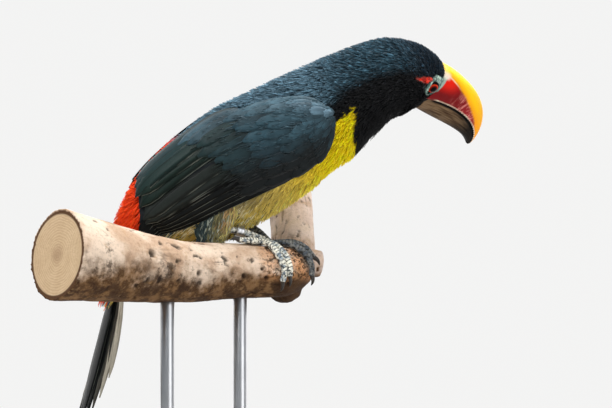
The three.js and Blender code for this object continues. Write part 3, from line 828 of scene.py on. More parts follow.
def build_body_coat():
    """The coat in five pieces, each of a few batches of feathers: fine strands, mostly
    over or under rows of small vanes that give the broader shapes."""
    rng = np.random.default_rng(11)
    body_look = feather_look("body_feathers", streak=0.35)
    head_look = feather_look("head_feathers", streak=0.25)
    small = {"outline": SMALL_VANE, "rings": 5}
    under = {**small, "tip": -0.9, "thick": 0.3, "turn": 5}
    # Small vanes for crown and nape: a quarter with painted highlights, deep painted shade at the roots and a
    # painted highlight at the tips.
    painted_highlights = {**small, "turn": 14, "spread": 0.3, "bright": 0.6, "ruffle": 0.5, "root": 0.35, "paler": 1.3}

    short = [(9.3, 5.0), (10, 4.2), (11, 3.0), (12, 2.0), (13, 1.5)]
    thin = [(9.3, 0.42), (11, 0.32), (13, 0.22)]
    coat("coat_head", [
        plumage(rng, (9.5, 11.2), 0.95, 0.72, short, thin,
                thick=0.14, spread=0.24, bright=0.8, ruffle=0.5, root=0.65),
        plumage(rng, (11.2, 12.95), 0.6, 0.5, short, thin,
                thick=0.12, spread=0.24, bright=0.7, tip=0.0, root=0.65),
        plumage(rng, (9.5, 12.5), 2.3, 1.9, [(9.3, 5.4), (11, 3.6), (12.5, 2.2)], [(9.3, 0.95), (12.5, 0.55)],
                (0, 104), tip=0.15, thick=0.14, **painted_highlights),
    ], head_look)

    nape, fine = [(8, 7.5), (9.6, 5.2)], [(8, 0.5), (9.6, 0.42)]
    coat("coat_neck", [
        plumage(rng, (8.05, 9.6), 1.25, 0.8, nape, fine,
                spread=0.24, bright=0.6, ruffle=0.6, tip=0.1, root=0.6),
        plumage(rng, (9.0, 9.9), 1.3, 0.8, nape, fine, (135, 180), spread=0.24, tip=1.3, ruffle=0.8),
        plumage(rng, (8.05, 9.6), 2.9, 2.3, nape, [(8, 1.3), (9.6, 1.0)], (0, 104),
                tip=0.25, thick=0.16, **painted_highlights),
    ], head_look)

    coat("coat_back", [
        plumage(rng, (2.9, 8.2), 3.0, 3.2, [(2.9, 11), (8.2, 8)], [(2.9, 2.4), (8.2, 2.1)], (0, 98), **under),
        plumage(rng, (2.9, 8.2), 1.7, 0.9, [(2.9, 9), (8.2, 7.5)], [(2.9, 0.56), (8.2, 0.5)], (0, 98),
                spread=0.2, bright=0.6, ruffle=0.5, root=0.65),
    ], body_look)

    coat("coat_breast", [
        plumage(rng, (0.8, 8.15), 3.0, 3.0,
                [(0.8, 9), (4, 12), (8.1, 9)], [(0.8, 1.8), (4, 2.4), (8.2, 2.0)],
                (94, 180), spread=0.05, root=0.84, **under),
        plumage(rng, (0.8, 8.15), 1.8, 0.98,
                [(0.8, 9), (4, 11), (8.1, 7)], [(0.8, 0.42), (4, 0.5), (8.2, 0.45)],
                (94, 180), spread=0.09, root=0.88, paler=1.1, bright=0.15, ruffle=0.3, turn=7, flecks=True),
        plumage(rng, (3.4, 6.8), 1.6, 0.95, [(3.4, 13), (6.8, 9)], [(3.4, 0.42), (6.8, 0.36)], (148, 180),
                tip=1.1, spread=0.26, root=0.72, ruffle=0.9, turn=6, flecks=True),
    ], body_look)

    broad = [(0, 0.6), (3.9, 0.55)]
    coat("coat_rump", [
        plumage(rng, (0.15, 3.9), 1.5, 0.95, [(0, 7), (1.5, 11), (3.9, 9)], broad, (0, 96),
                root=0.65, bright=0.2),
        plumage(rng, (2.0, 4.4), 1.5, 0.9, [(2, 12), (4.7, 9)], [(2, 0.6), (4.7, 0.5)], (0, 30),
                tip=1.2, root=0.65, ruffle=0.6),
        plumage(rng, (0.1, 1.2), 1.5, 0.8, [(0, 7), (1.2, 10)], broad, (88, 180), spread=0.2, root=0.55),
        plumage(rng, (0.02, 0.8), 1.3, 0.85, [(0, 14), (0.8, 12)], [(0, 0.65), (0.8, 0.55)],
                tip=-0.3, spread=0.2, root=0.6, ruffle=0.8, turn=5),
    ], body_look)


def build_thighs():
    """Loose feathers hanging down over each thigh, slate behind, ochre in the middle
    and pale in front, in strands of several lengths. The lowest stand out and are
    longer, down to the branch."""
    rng = np.random.default_rng(23)
    look = feather_look("thigh_feathers", streak=0.3)
    slate, olive, ochre = tint(52, 68, 70), tint(112, 108, 74), tint(184, 146, 98)
    pale, grey = tint(196, 184, 112), tint(150, 158, 146)
    for side, middle in (("right", 236), ("left", 304)):
        surface = thigh_surface(side)
        u, v = rows_on(surface, (0.16, 1.0), (0, 360), 1.7, 0.95, rng)
        u, v = np.concatenate([u, u[u < 0.5]]), np.concatenate([v, v[u < 0.5] + 2])
        length = np.interp(u, [0, 0.3, 1], [3.5, 6, 8]) * np.exp(0.2 * rng.normal(size=len(u)))
        x = np.cos(np.radians(v)) + 0.16 * rng.normal(size=len(u))
        skirt = rise(0.5 - u, 0, 0.3) * (0.6 + 0.4 * rise(x, -0.2, 0.5))
        lift = -0.1 + 0.2 * rng.normal(size=len(u)) + 4.5 * skirt
        length = length * (1 + 0.5 * skirt)
        line, normal = laid(surface, u, v, length, 10 * rng.normal(size=len(u)), -1.5, lift, 4)
        colour = blend(
            slate,
            (olive, rise(x, -0.4, 0.1)),
            (ochre, rise(x, 0.3, 0.5) * rise(u, 0.25, 0.6)),
            (pale, rise(x, 0.6, 0.9)),
            (grey, (rng.uniform(size=len(u)) < 0.14) * 0.8),
        )
        home = body_home(4.0 + 0.8 * (u - 0.5), middle + 20 * np.sin(np.radians(v)))
        wide = 0.5 * np.array(TAPER[4]) * np.exp(0.2 * rng.normal(size=(len(u), 1)))
        tones = dyed(colour, rng, 4, 0.6, 1.2, 0.26)
        strands = vanes(line, normal, wide, 0.2, 0.0, STRAND, home, tones)
        coat(f"coat_thigh_{side}", [strands], look)


# -------------------------------------------------------------------- the wings

COVERT = tint(40, 60, 68)
SHOULDER = tint(50, 70, 79)
# Painted highlight along the wing's upper edge and at the top of its bend.
EDGE_HIGHLIGHT = tint(94, 118, 132)
TERTIAL = tint(28, 40, 36)
FLIGHT = tint(19, 22, 22)
PANEL = tint(35, 39, 37)
SCAPULAR = tint(60, 82, 92)

# Half-widths of long feathers and of coverts as shares, by places from root to tip.
QUILL_SHAPE = ([0, 0.12, 0.6, 0.86, 0.94, 0.98, 1], [0.4, 0.9, 1, 0.86, 0.62, 0.36, 0.08])
COVERT_SHAPE = ([0, 0.3, 0.6, 0.8, 0.93, 1], [0.5, 0.95, 1, 0.92, 0.62, 0.2])
# Radius of the arch that a wing feather makes from edge to edge.
CAMBER = 26
# A row of coverts has its number of feathers, the s of its roots and of its tips, the t
# that it spans, its half-width, height and tilt, and how bright it is.
COVERT_ROWS = [
    (7, 0.80, 0.54, (0.80, 0.97), 2.2, 1.9, 0.1, 0.9),
    (7, 0.70, 0.45, (0.36, 0.86), 4.6, 2.8, 0.06, 0.85),
    (4, 0.66, 0.42, (0.02, 0.32), 4.6, 2.9, 0.06, 0.9),
    (9, 0.78, 0.56, (0.10, 0.93), 4.1, 3.0, 0.05, 0.85),
    (10, 0.835, 0.65, (0.05, 0.95), 3.7, 3.05, 0.05, 0.95),
    (12, 0.88, 0.73, (0.04, 0.97), 3.1, 3.0, 0.04, 1.0),
    (14, 0.92, 0.80, (0.03, 0.98), 2.5, 2.85, 0.04, 1.0),
    (14, 0.95, 0.86, (0.02, 0.98), 2.0, 2.5, 0.04, 1.0),
    (12, 0.975, 0.91, (0.04, 0.96), 1.7, 1.9, 0.04, 1.0),
    (9, 0.995, 0.95, (0.04, 0.96), 1.5, 1.2, 0.04, 1.0),
]


def wing_section(s):
    """The section of the body at a place along the wing."""
    first, last = WING["section"][0], WING["section"][-1]
    return first + (last - first) * np.asarray(s, float)


def wing_surface(side):
    """The folded wing over the body: s runs from its rear tip to the shoulder, and t
    from its upper to its lower edge, both from 0 to 1."""
    mirror = 1.0 if side == "right" else -1.0

    def surface(s, t, height=0.0):
        s, t, height = np.broadcast_arrays(np.asarray(s, float), t, height)
        return flesh(wing_section(s), wing_angle(s, t), 0.9 + height) * np.array([1, mirror, 1])

    surface.steps, surface.outward = (0.004, 0.01), mirror
    return surface


def wing_angle(s, t):
    """The body's angle at a place on the wing."""
    upper, lower = (smooth(WING["section"], WING[edge], wing_section(s)) for edge in ("upper", "lower"))
    return upper + (lower - upper) * t


def edge_height(t):
    """What is left of the feathers' height near the wing's upper edge."""
    return 0.3 + 0.7 * rise(t, -0.1, 0.3)


def wing_quills(rng, side, root, tip, half, height, tilt, colour, rings=14, shape=QUILL_SHAPE, thick=0.35,
                bow=0.0, root_height=0.0, spread=0.08, paler=1.1):
    """Long vanes on the wing. Each runs from a root to a tip, given as (s, t), straight
    over the body but for a bow of so many degrees; its lower edge lies over the next
    vane, by the tilt. Near the wing's upper edge the vanes lie lower. The shape is the
    half-width as a share, by places from root to tip."""
    surface = wing_surface(side)
    root, tip = np.atleast_2d(root).astype(float), np.atleast_2d(tip).astype(float)
    n = max(len(root), len(tip))
    along = np.linspace(0, 1, rings)
    first, last = (wing_angle(p[:, 0], p[:, 1])[:, None] for p in (root, tip))
    s = root[:, :1] + (tip - root)[:, :1] * along
    angle = first + (last - first) * along + np.reshape(bow, (-1, 1)) * np.sin(np.pi * along)
    s, angle = np.broadcast_to(s, (n, rings)), np.broadcast_to(angle, (n, rings))
    upper = wing_angle(s, 0.0)
    t = (angle - upper) / (wing_angle(s, 1.0) - upper)
    gain = np.reshape(np.asarray(height) - root_height, (-1, 1))
    lift = (np.reshape(root_height, (-1, 1)) + gain * along**0.6) * edge_height(t)
    line = surface(s, t, np.broadcast_to(lift, s.shape))
    normal = stretch(surface, s, t)[2]
    tangent = unit(np.gradient(line, axis=1))
    upward = unit(np.cross(tangent, normal)) * surface.outward
    normal = unit(normal + tilt * upward)
    wide = np.reshape(half, (-1, 1)) * np.interp(along, *shape)
    drop = wide**2 / (2 * CAMBER)
    home = np.broadcast_to(inset(np.clip(root, 0, 1)), (n, 2))
    tones = dyed(np.broadcast_to(colour, (n, 3)), rng, rings, 0.8, paler, spread)
    flat, groups, vane, bake, tones = vanes(line, normal, wide, thick, drop, WIDE_VANE, home, tones)
    if side == "left":
        vane = vane * [-1, 1] + [1, 0]
    return flat, groups, vane, bake, tones


def covert_rows(rng, side):
    """Rows of rounded coverts, coloured by their place on the wing."""
    made = []
    surface = wing_surface(side)
    for n, s0, s1, (t0, t1), half, height, tilt, tone in COVERT_ROWS:
        k = np.linspace(0, 1, n)
        t = t0 + (t1 - t0) * k
        noise = 0.012 * rng.normal(size=n)
        root = stack(s0 + noise, t)
        tip = stack(s1 + 0.02 * np.sin(np.pi * k) + noise, t + 0.02 + 0.02 * rng.normal(size=n))
        middle = np.full(n, (s0 + s1) / 2)
        colour = tone * wing_colour(middle, t, surface(middle, t))
        made.append(wing_quills(rng, side, root, tip, half, height, tilt, colour, 7, COVERT_SHAPE,
                                thick=0.3, root_height=height - 1.0, spread=0.14, paler=1.15))
    return made


def build_wing(side):
    """A folded wing. From below upwards lie its bed, the primaries, the secondaries and
    tertials, then the coverts and scapulars, and fine down over them."""
    rng = np.random.default_rng(31)
    s = np.linspace(0, 1, 60)[:, None]
    t = np.concatenate([np.linspace(0.03, 0.97, 24), np.linspace(0.97, 0.03, 24)])
    swell = np.sin(np.pi * t) ** 0.9 * np.minimum(1, 3 * s) * np.minimum(1, 7 * (1 - s)) ** 0.5
    height = np.where(np.arange(48) < 24, 0.1 + 1.5 * swell, -0.5)
    shell = grid(wing_surface(side)(s, t[None, :], height), True, True)
    moulded(f"wing_bed_{side}", shell, feather_bed(), (f"wing_{side}",), margin=0)

    k = np.linspace(0, 1, 4)
    longest = wing_quills(
        rng, side, stack(0.5, 0.60 - 0.36 * k), stack(0.01 + 0.02 * k, 0.75 - 0.65 * k),
        4.4, 0.7, 0.10, FLIGHT * 0.6, spread=0.1)
    k = np.linspace(0, 1, 5)
    primaries = wing_quills(
        rng, side, stack(0.74 - 0.07 * k, 0.985 - 0.265 * k), stack(0.09 + 0.01 * k, 0.94 - 0.42 * k**1.2),
        3.8 - 0.2 * k, 0.6 + 1.1 * k, 0.12, FLIGHT * 0.55, bow=2.6 - 2.6 * k, spread=0.12)
    secondaries = [
        wing_quills(rng, side, (0.66, 0.66), (0.105, 0.40), 5.2, 1.9, 0.14, FLIGHT),
        wing_quills(rng, side, (0.66, 0.61), (0.09, 0.30), 6.0, 2.15, 0.14, PANEL),
        wing_quills(rng, side, (0.66, 0.48), (0.10, 0.20), 6.4, 2.4, 0.14, PANEL),
        wing_quills(rng, side, (0.66, 0.30), (0.14, 0.10), 6.2, 2.7, 0.14, TERTIAL * 0.8),
        wing_quills(rng, side, (0.65, 0.25), (0.18, 0.13), 6.2, 2.95, 0.14, TERTIAL),
    ]
    k = np.linspace(0, 1, 3)
    tertials = wing_quills(
        rng, side, stack(0.64, 0.08 - 0.1 * k), stack(0.165 + 0.06 * k, -0.05 - 0.08 * k),
        6.4, 3.3 + 0.5 * k, 0.14, blend(TERTIAL, (COVERT, 0.1 + k * 0.3)), bow=2)
    flight = [longest, primaries, *secondaries, tertials]
    coat(f"flight_feathers_{side}", flight, flight_look())
    coat(f"wing_coverts_{side}", covert_rows(rng, side), covert_look())
    coat(f"wing_down_{side}", [wing_down(rng, side)], feather_look("wing_down", 0.4))


def wing_colour(s, t, points):
    """The wing's colour where its coverts are: blue-grey at the shoulder and along the
    upper edge, with a paler painted highlight along that edge near the shoulder and at
    the top of the bend, darker and greener behind, nearly black along the lower edge."""
    wander = 0.05 * field(points, 7.0, 31)
    # How far down from the upper edge the painted highlight reaches, furthest at the top of the bend.
    lit = 0.18 + 0.26 * rise(s, 0.78, 0.94)
    return blend(
        COVERT * 0.75,
        (COVERT, rise(s + wander, 0.5, 0.7)),
        (SHOULDER, rise(s + wander, 0.66, 0.9) * rise(0.74 - t, 0, 0.4)),
        (EDGE_HIGHLIGHT, 0.8 * rise(lit - t + wander, 0, 0.2) * rise(s + wander, 0.6, 0.84)),
        (TERTIAL * 1.1, rise(0.66 - s, 0, 0.2)),
        (SCAPULAR, rise(0.22 - t + wander, 0, 0.2) * rise(s, 0.3, 0.56)),
        (FLIGHT, 0.95 * rise(t + wander, 0.52, 0.84) * rise(0.98 - s, 0, 0.14)),
    )


def wing_down(rng, side):
    """Fine barbs that lie over the coverts and soften their edges, densest at the bend
    of the wing and along its upper edge."""
    surface = wing_surface(side)
    s, t = rows_on(surface, (0.46, 0.995), (0.02, 0.98), 1.5, 0.9, rng)
    dense = 0.9 * rise(s, 0.8, 0.96) + 0.6 * rise(0.12 - t, 0, 0.1) * rise(s, 0.4, 0.6)
    chosen = rng.uniform(size=len(s)) < 0.2 + 0.8 * np.clip(dense, 0, 1)
    s, t = s[chosen], t[chosen]
    length = np.interp(s, [0.3, 0.7, 1], [8, 6, 3.2]) * np.exp(0.2 * rng.normal(size=len(s)))
    near_edge = np.minimum(1, 12 * np.minimum(t + 0.03, 1 - t)) ** 0.7
    top = 3.3 * np.minimum(1, 7 * (1 - s)) ** 0.5 * near_edge
    top = (top - 0.7 * rise(0.6 - s, 0, 0.2)) * edge_height(t)
    turn = 7 * rng.normal(size=len(s)) - 6
    line, normal = laid(surface, s, t, length, turn, top - 1.0, top + 0.2, 4, 1.0)
    colour = wing_colour(s, t, line[:, -1])
    wide = 0.36 * np.array(TAPER[4]) * np.exp(0.2 * rng.normal(size=(len(s), 1)))
    tones = dyed(colour, rng, 4, 0.8, 1.15, 0.16, 0.4)
    return vanes(line, normal, wide, 0.12, 0.0, STRAND, inset(stack(s, t)), tones)


# --------------------------------------------------------------------- the tail

TAIL = {
    "root": (-57.6, 0, 104.6), "lean": 14.7, "twist": 8, "lengths": [83, 78, 72, 64, 52],
    "half": 6.5, "narrowing": 0.1, "spread": 2.6, "fan": 1.5, "cup": 5, "layer": 0.6,
}


def turn_about(v, axis, degrees):
    """v turned about a unit axis."""
    c, s = np.cos(np.radians(degrees)), np.sin(np.radians(degrees))
    return v * c + np.cross(axis, v) * s + axis * (v @ axis) * (1 - c)


def build_tail():
    """Ten pointed feathers fanned a little and cupped, the middle pair longest and on
    top, each a vane with a quill down its middle; the outer ones are paler."""
    rng = np.random.default_rng(41)
    lean, rings = np.radians(TAIL["lean"]), 26
    down = np.array([-np.sin(lean), 0, -np.cos(lean)])
    across = turn_about(np.array([0, 1.0, 0]), down, -TAIL["twist"])
    back = np.cross(across, down)
    s = np.linspace(0, 1, rings)
    tip = 1 - 0.95 * np.maximum(0, (s - 0.5) / 0.5) ** 1.8
    lines, normals, widths = [], [], []
    for rank, length in enumerate(TAIL["lengths"]):
        for side in (-1, 1):
            turn, tilt = (np.radians(side * TAIL[k] * (rank + 0.5)) for k in ("fan", "cup"))
            along = down * np.cos(turn) + across * np.sin(turn)
            wide = across * np.cos(tilt) - back * np.sin(tilt)
            shift = side * TAIL["spread"] * (rank + 0.35) * 0.5
            below = TAIL["layer"] * (rank + (0.4 if side > 0 else 0))
            root = np.array(TAIL["root"]) + across * shift - back * below
            d = length * s
            lines.append(root + d[:, None] * along + (shift * np.minimum(1, d / 45))[:, None] * wide)
            normals.append(np.broadcast_to(np.cross(wide, along), (rings, 3)))
            widths.append(TAIL["half"] * (1 - TAIL["narrowing"] * rank) * np.minimum(1, 0.55 + d / 40) * tip)
    colour = blend(tint(15, 18, 17), (tint(190, 182, 164), np.repeat([0, 0, 0.12, 0.9, 1], 2)))
    tones = dyed(colour, rng, rings, 0.9, 0.95, 0.05)
    home = stack(0.1 + 0.08 * np.arange(10), 0.5)
    made = vanes(np.array(lines), np.array(normals), np.array(widths), 0.42, 0.25, WIDE_VANE, home, tones)
    coat("tail_feathers", [made], flight_look(), ("tail",))


# --------------------------------------------------------------------- the bill

# Number of small notches along the upper bill's cutting edge.
NOTCHES = 26


def bill_half(t):
    """The bill's half-width, falling along it by a power of what is left of the way."""
    return BILL["half"] * (1 - t) ** 0.62 * (1 + 0.25 * t)


def mandible(ridge, gap, width, height_power, side_power, teeth):
    """Rings from the bill's base to its tip: an arch from the right cutting edge over
    the ridge to the left one, and a flat between the edges. The edge has small
    notches. Gives the points and, for each, the way along, the height over the edge as
    a share, and that height in millimetres."""
    t, a = np.linspace(0, 1, 150)[:, None], np.linspace(0, 1, 97)[None, :]
    u = 0.985 * t
    edge, top = bezier(BILL["tomium"], u[:, 0]), bezier(ridge, u[:, 0])
    c, h = np.cos(np.pi * a), np.clip(np.sin(np.pi * a), 0, 1) ** height_power
    half = width * bill_half(u)
    y = -np.sign(c) * np.abs(c) ** side_power * half
    zigzag = np.abs((u * NOTCHES) % 1 - 0.5) * 2 - 0.5
    notch = teeth * zigzag * rise(u, 0.12, 0.3) * rise(0.97 - u, 0, 0.1)
    x = edge[:, :1] + (top[:, :1] - edge[:, :1]) * h
    z = edge[:, 1:] + gap + notch * (1 - h) ** 6 + (top[:, 1:] - edge[:, 1:] - gap) * h
    floor_y = half * np.linspace(1, -1, 17)[None, 1:-1]
    arch = stack(x, y, z)
    floor = stack(edge[:, :1], floor_y, edge[:, 1:] + gap + notch)
    points = in_head(*np.moveaxis(np.concatenate([arch, floor], 1), -1, 0))
    tall = np.hypot(*(top - edge).T)[:, None]
    share = np.concatenate([np.broadcast_to(h, y.shape), np.zeros_like(floor_y)], 1)
    return points, np.broadcast_to(u, share.shape), share, share * tall


def bill_piece(name, mandible_form, look, border):
    """One half of the bill. It carries the way along it, the height over its cutting
    edge in millimetres and as a share, and the height over a border, which goes by the
    way along."""
    points, t, share, tall = mandible_form
    over = (share - smooth(*border, t)) * tall / np.maximum(share, 1e-3)
    values = {"along": t, "edge": tall, "border": over, "share": share}
    values = {key: with_hubs(v) for key, v in values.items()}
    shell = grid(points, around=True, ends=True)
    moulded(f"{name}_horn", shell, look, (name,), values=values)


def build_bill():
    """Upper and lower bill. On the upper one, the border is the ridge stripe's."""
    stripe = (
        [0, 0.054, 0.123, 0.212, 0.31, 0.414, 0.507, 0.65, 0.8, 1],
        [0.87, 0.85, 0.78, 0.67, 0.54, 0.4, 0.3, 0.17, 0.02, -0.2],
    )
    upper = mandible(BILL["culmen"], 0, 1, 0.8, 0.62, 0.22)
    lower = mandible(BILL["gonys"], -0.3, 0.93, 0.9, 0.7, 0.0)
    bill_piece("bill_upper", upper, upper_look(), stripe)
    bill_piece("bill_lower", lower, lower_look(), ([0, 1], [0.5, 0.5]))


# --------------------------------------------------------------------- the eyes


def face_height(across, up, side):
    """How far the face stands out round an eye, over places across the eye's view: the
    mean of the body's points there, the nearest counting by far the most."""
    u, angle = np.meshgrid(np.linspace(10.4, LAST, 170), np.arange(0, 360, 1.5))
    face = np.stack(eye_view(flesh(u, angle), side), -1).reshape(-1, 3)
    face = face[(face[:, 2] > 0) & (np.hypot(face[:, 0], face[:, 1]) < 8.5)]
    places = np.stack([across.ravel(), up.ravel()], -1)
    gap = ((places[:, None] - face[None, :, :2]) ** 2).sum(-1)
    weight = 1 / (gap + 0.03) ** 2
    return (weight @ face[:, 2] / weight.sum(1)).reshape(across.shape)


def eye_points(side, across, up, out):
    """Points given from an eyeball's centre along its own directions."""
    outward, ahead, upward = face_out(side)
    centre = np.array([EYE["x"], EYE["y"] * side, EYE["z"]])
    local = out[..., None] * outward + across[..., None] * ahead + up[..., None] * upward
    return in_head(*np.moveaxis(centre + local, -1, 0))


def build_eyeball(name, side):
    """A ball with a slightly raised cornea. It carries the distance from its axis, which
    the colours of the eye follow, with more added on its hidden half."""
    polar = np.linspace(0.004, np.pi - 0.004, 60)[:, None]
    azimuth = np.linspace(0, 2 * np.pi, 65)[None, :-1]
    radius = EYE["radius"] - 0.22 + 0.3 * np.exp(-((polar / 0.5) ** 2))
    spread = radius * np.sin(polar)
    across, up = spread * np.cos(azimuth), spread * np.sin(azimuth)
    points = eye_points(side, across, up, radius * np.cos(polar))
    reach = np.broadcast_to(spread + 9 * (polar > 1.57), across.shape)
    moulded(f"eyeball_{name}", grid(points, around=True, ends=True), eye_look(), (f"eye_{name}",),
            values={"reach": np.concatenate([reach.ravel(), [0, 12]])})


def build_eyelids(name, side):
    """Lids of bare skin round an eye: rings that leave the ball's surface in three folds
    and sink into the face, with beads along the innermost."""
    ring, azimuth = np.linspace(0, 1, 44)[:, None], np.linspace(0, 2 * np.pi, 145)[None, :-1]
    reach = 3.6 + (2.45 + 0.85 * np.sin(azimuth)) * ring
    across, up = reach * np.cos(azimuth), reach * np.sin(azimuth)
    over = np.sqrt((EYE["radius"] - 0.16) ** 2 - np.minimum(reach, 3.9) ** 2)
    folds = sum(tall * np.sin(np.pi * np.clip(ring * rate - start, 0, 1))
                for tall, rate, start in ((0.34, 4.5, 0), (0.26, 4, 0.85), (0.2, 4, 1.9)))
    beads = 0.08 * np.sin(22 * azimuth) * np.exp(-(((ring - 0.3) / 0.1) ** 2))
    share = rise(ring, 0.12, 0.7)
    height = over * (1 - share) + (face_height(across, up, side) - 0.15) * share + folds + beads
    height = height - 0.9 * rise(ring, 0.8, 1) - 0.3 * (ring < 0.01)
    top, under = (eye_points(side, across, up, height - depth) for depth in (0, 0.5))
    shell = grid(np.concatenate([top, under[::-1]]), around=True, loop=True)
    wander = field(shell[0], 1.0, 2)
    shade = np.broadcast_to(ring, across.shape)
    shade = np.concatenate([shade, shade[::-1]]).ravel()
    # How near a point lies to one of the lids' creases, which are darkened as painted shade.
    creases = sum(np.exp(-(((shade + 0.02 * wander - at) / 0.035) ** 2)) for at in (0.29, 0.47, 0.66))
    colours = blend(
        BARE * 0.6,
        (BARE_PALE * 1.15, rise(wander, -0.4, 0.4)),
        (tint(16, 34, 32), 0.9 * np.clip(creases, 0, 1)),
        (tint(9, 10, 11), 1 - rise(shade, 0.15, 0.2)),
    )
    moulded(f"eyelids_{name}", shell, skin_look(), colours=colours,
            values={"bare": np.ones(len(shade))})


# ------------------------------------------------------------------- the branch

# The limb's centre and radius at even steps along it.
PERCH = np.array([
    (-103, -65, 122, 26), (-64.7, -47.6, 116.7, 21.5), (-26.5, -30.1, 112.2, 17.8),
    (11.2, -14.7, 112.6, 15.6), (38, -8.2, 112.5, 14), (47.5, 14.5, 124, 12.8), (53.7, 49.9, 155.2, 12.5),
])
STUB = {"from": (44, 2, 118), "to": (62, 1.5, 116), "radius": 7.6}
KNOB = {"at": (40, -1, 103), "size": (10, 10, 9)}
# Knot holes: how far along the limb and how far round it, and how wide.
KNOT_HOLES = [
    (0.47, 100, 2.6), (0.545, 84, 1.6), (0.56, 104, 1.8), (0.34, 92, 2.4), (0.2, 70, 3.4), (0.63, 118, 1.7),
]


def perch_frame(s):
    """Centre, along, up and outer directions, and radius of the branch, s going from 0
    to 1 along it."""
    keys = np.linspace(0, 1, len(PERCH))
    s = np.asarray(s, float)
    here = smooth(keys, PERCH, s)
    ahead, behind = (smooth(keys, PERCH, np.clip(s + d, 0, 1))[..., :3] for d in (0.004, -0.004))
    along = unit(ahead - behind)
    up = unit(np.array([0, 0, 1.0]) - along * along[..., 2:])
    return here[..., :3], along, up, np.cross(along, up), here[..., 3]


def on_perch(s, round_, height):
    """Points this high over the branch, at so many degrees round from its top."""
    centre, _, up, outer, radius = perch_frame(s)
    reach = (radius + height)[..., None]
    a = np.radians(round_)[..., None]
    return centre + up * reach * np.cos(a) + outer * reach * np.sin(a)


def fused(points, groups, voxel):
    """Closed shells that run into one another made one skin of small quads."""
    mesh = mesh_of("shells", points, groups)
    shells = bpy.data.objects.new("shells", mesh)
    bpy.context.scene.collection.objects.link(shells)
    remesh = shells.modifiers.new("fuse", "REMESH")
    remesh.mode, remesh.voxel_size, remesh.adaptivity = "VOXEL", voxel * MM, 0.0
    done = shells.evaluated_get(bpy.context.evaluated_depsgraph_get()).to_mesh()
    co = np.empty(len(done.vertices) * 3, np.float32)
    done.vertices.foreach_get("co", co)
    faces = np.empty(len(done.loops), np.int32)
    done.loops.foreach_get("vertex_index", faces)
    quads = faces.reshape(-1, 4).astype(int)
    bpy.data.objects.remove(shells)
    return co.reshape(-1, 3).astype(float) / MM, quads


def vertex_normals(points, quads):
    """Outward directions at the points: the sum of those of the faces round each."""
    a, b, c, d = (points[quads[:, k]] for k in range(4))
    face = np.cross(c - a, d - b)
    total = np.zeros_like(points)
    for k in range(4):
        np.add.at(total, quads[:, k], face)
    return unit(total)


def eased(points, quads, rounds):
    """Each point drawn towards the mean of its neighbours, so many times."""
    for _ in range(rounds):
        total, count = np.zeros_like(points), np.zeros(len(points))
        for k in range(4):
            np.add.at(total, quads[:, k], points[quads[:, (k + 1) % 4]] + points[quads[:, (k + 3) % 4]])
            np.add.at(count, quads[:, k], 2)
        points = 0.5 * points + 0.5 * total / count[:, None]
    return points


def rings_round(centre, first, second, radius, angle):
    """Rings about the points of a line, in the plane of two directions."""
    across = first * np.cos(angle)[..., None] + second * np.sin(angle)[..., None]
    return centre + radius[..., None] * across


def branch_shells():
    """Closed shells of the limb, its sawn stub and the knob under its bend."""
    s, a = np.linspace(0, 1, 130)[:, None], np.radians(np.arange(0, 360, 5.0))[None, :]
    centre, _, up, outer, radius = perch_frame(s)
    limb = rings_round(centre, up, outer, radius - 0.35, a)
    start, end = np.array(STUB["from"], float), np.array(STUB["to"], float)
    axis = unit(end - start)
    side = unit(np.cross(axis, [0, 0, 1.0]))
    way = np.linspace(0, 1, 24)[:, None]
    round_off = np.sqrt(np.clip(1 - np.clip((way - 0.9) / 0.115, 0, 1) ** 2, 0.3, 1))
    wide = STUB["radius"] * (1.2 - 0.2 * way) * round_off - 0.3
    stub = rings_round(start + (end - start) * way[..., None], side, np.cross(side, axis), wide, a)
    polar = np.linspace(0.05, np.pi - 0.05, 30)[:, None]
    ball = stack(np.sin(polar) * np.cos(a), np.sin(polar) * np.sin(a), np.cos(polar))
    knob = np.array(KNOB["at"]) + (np.array(KNOB["size"]) - 0.4) * ball
    return joined([grid(form, True, True) for form in (limb, stub, knob)])


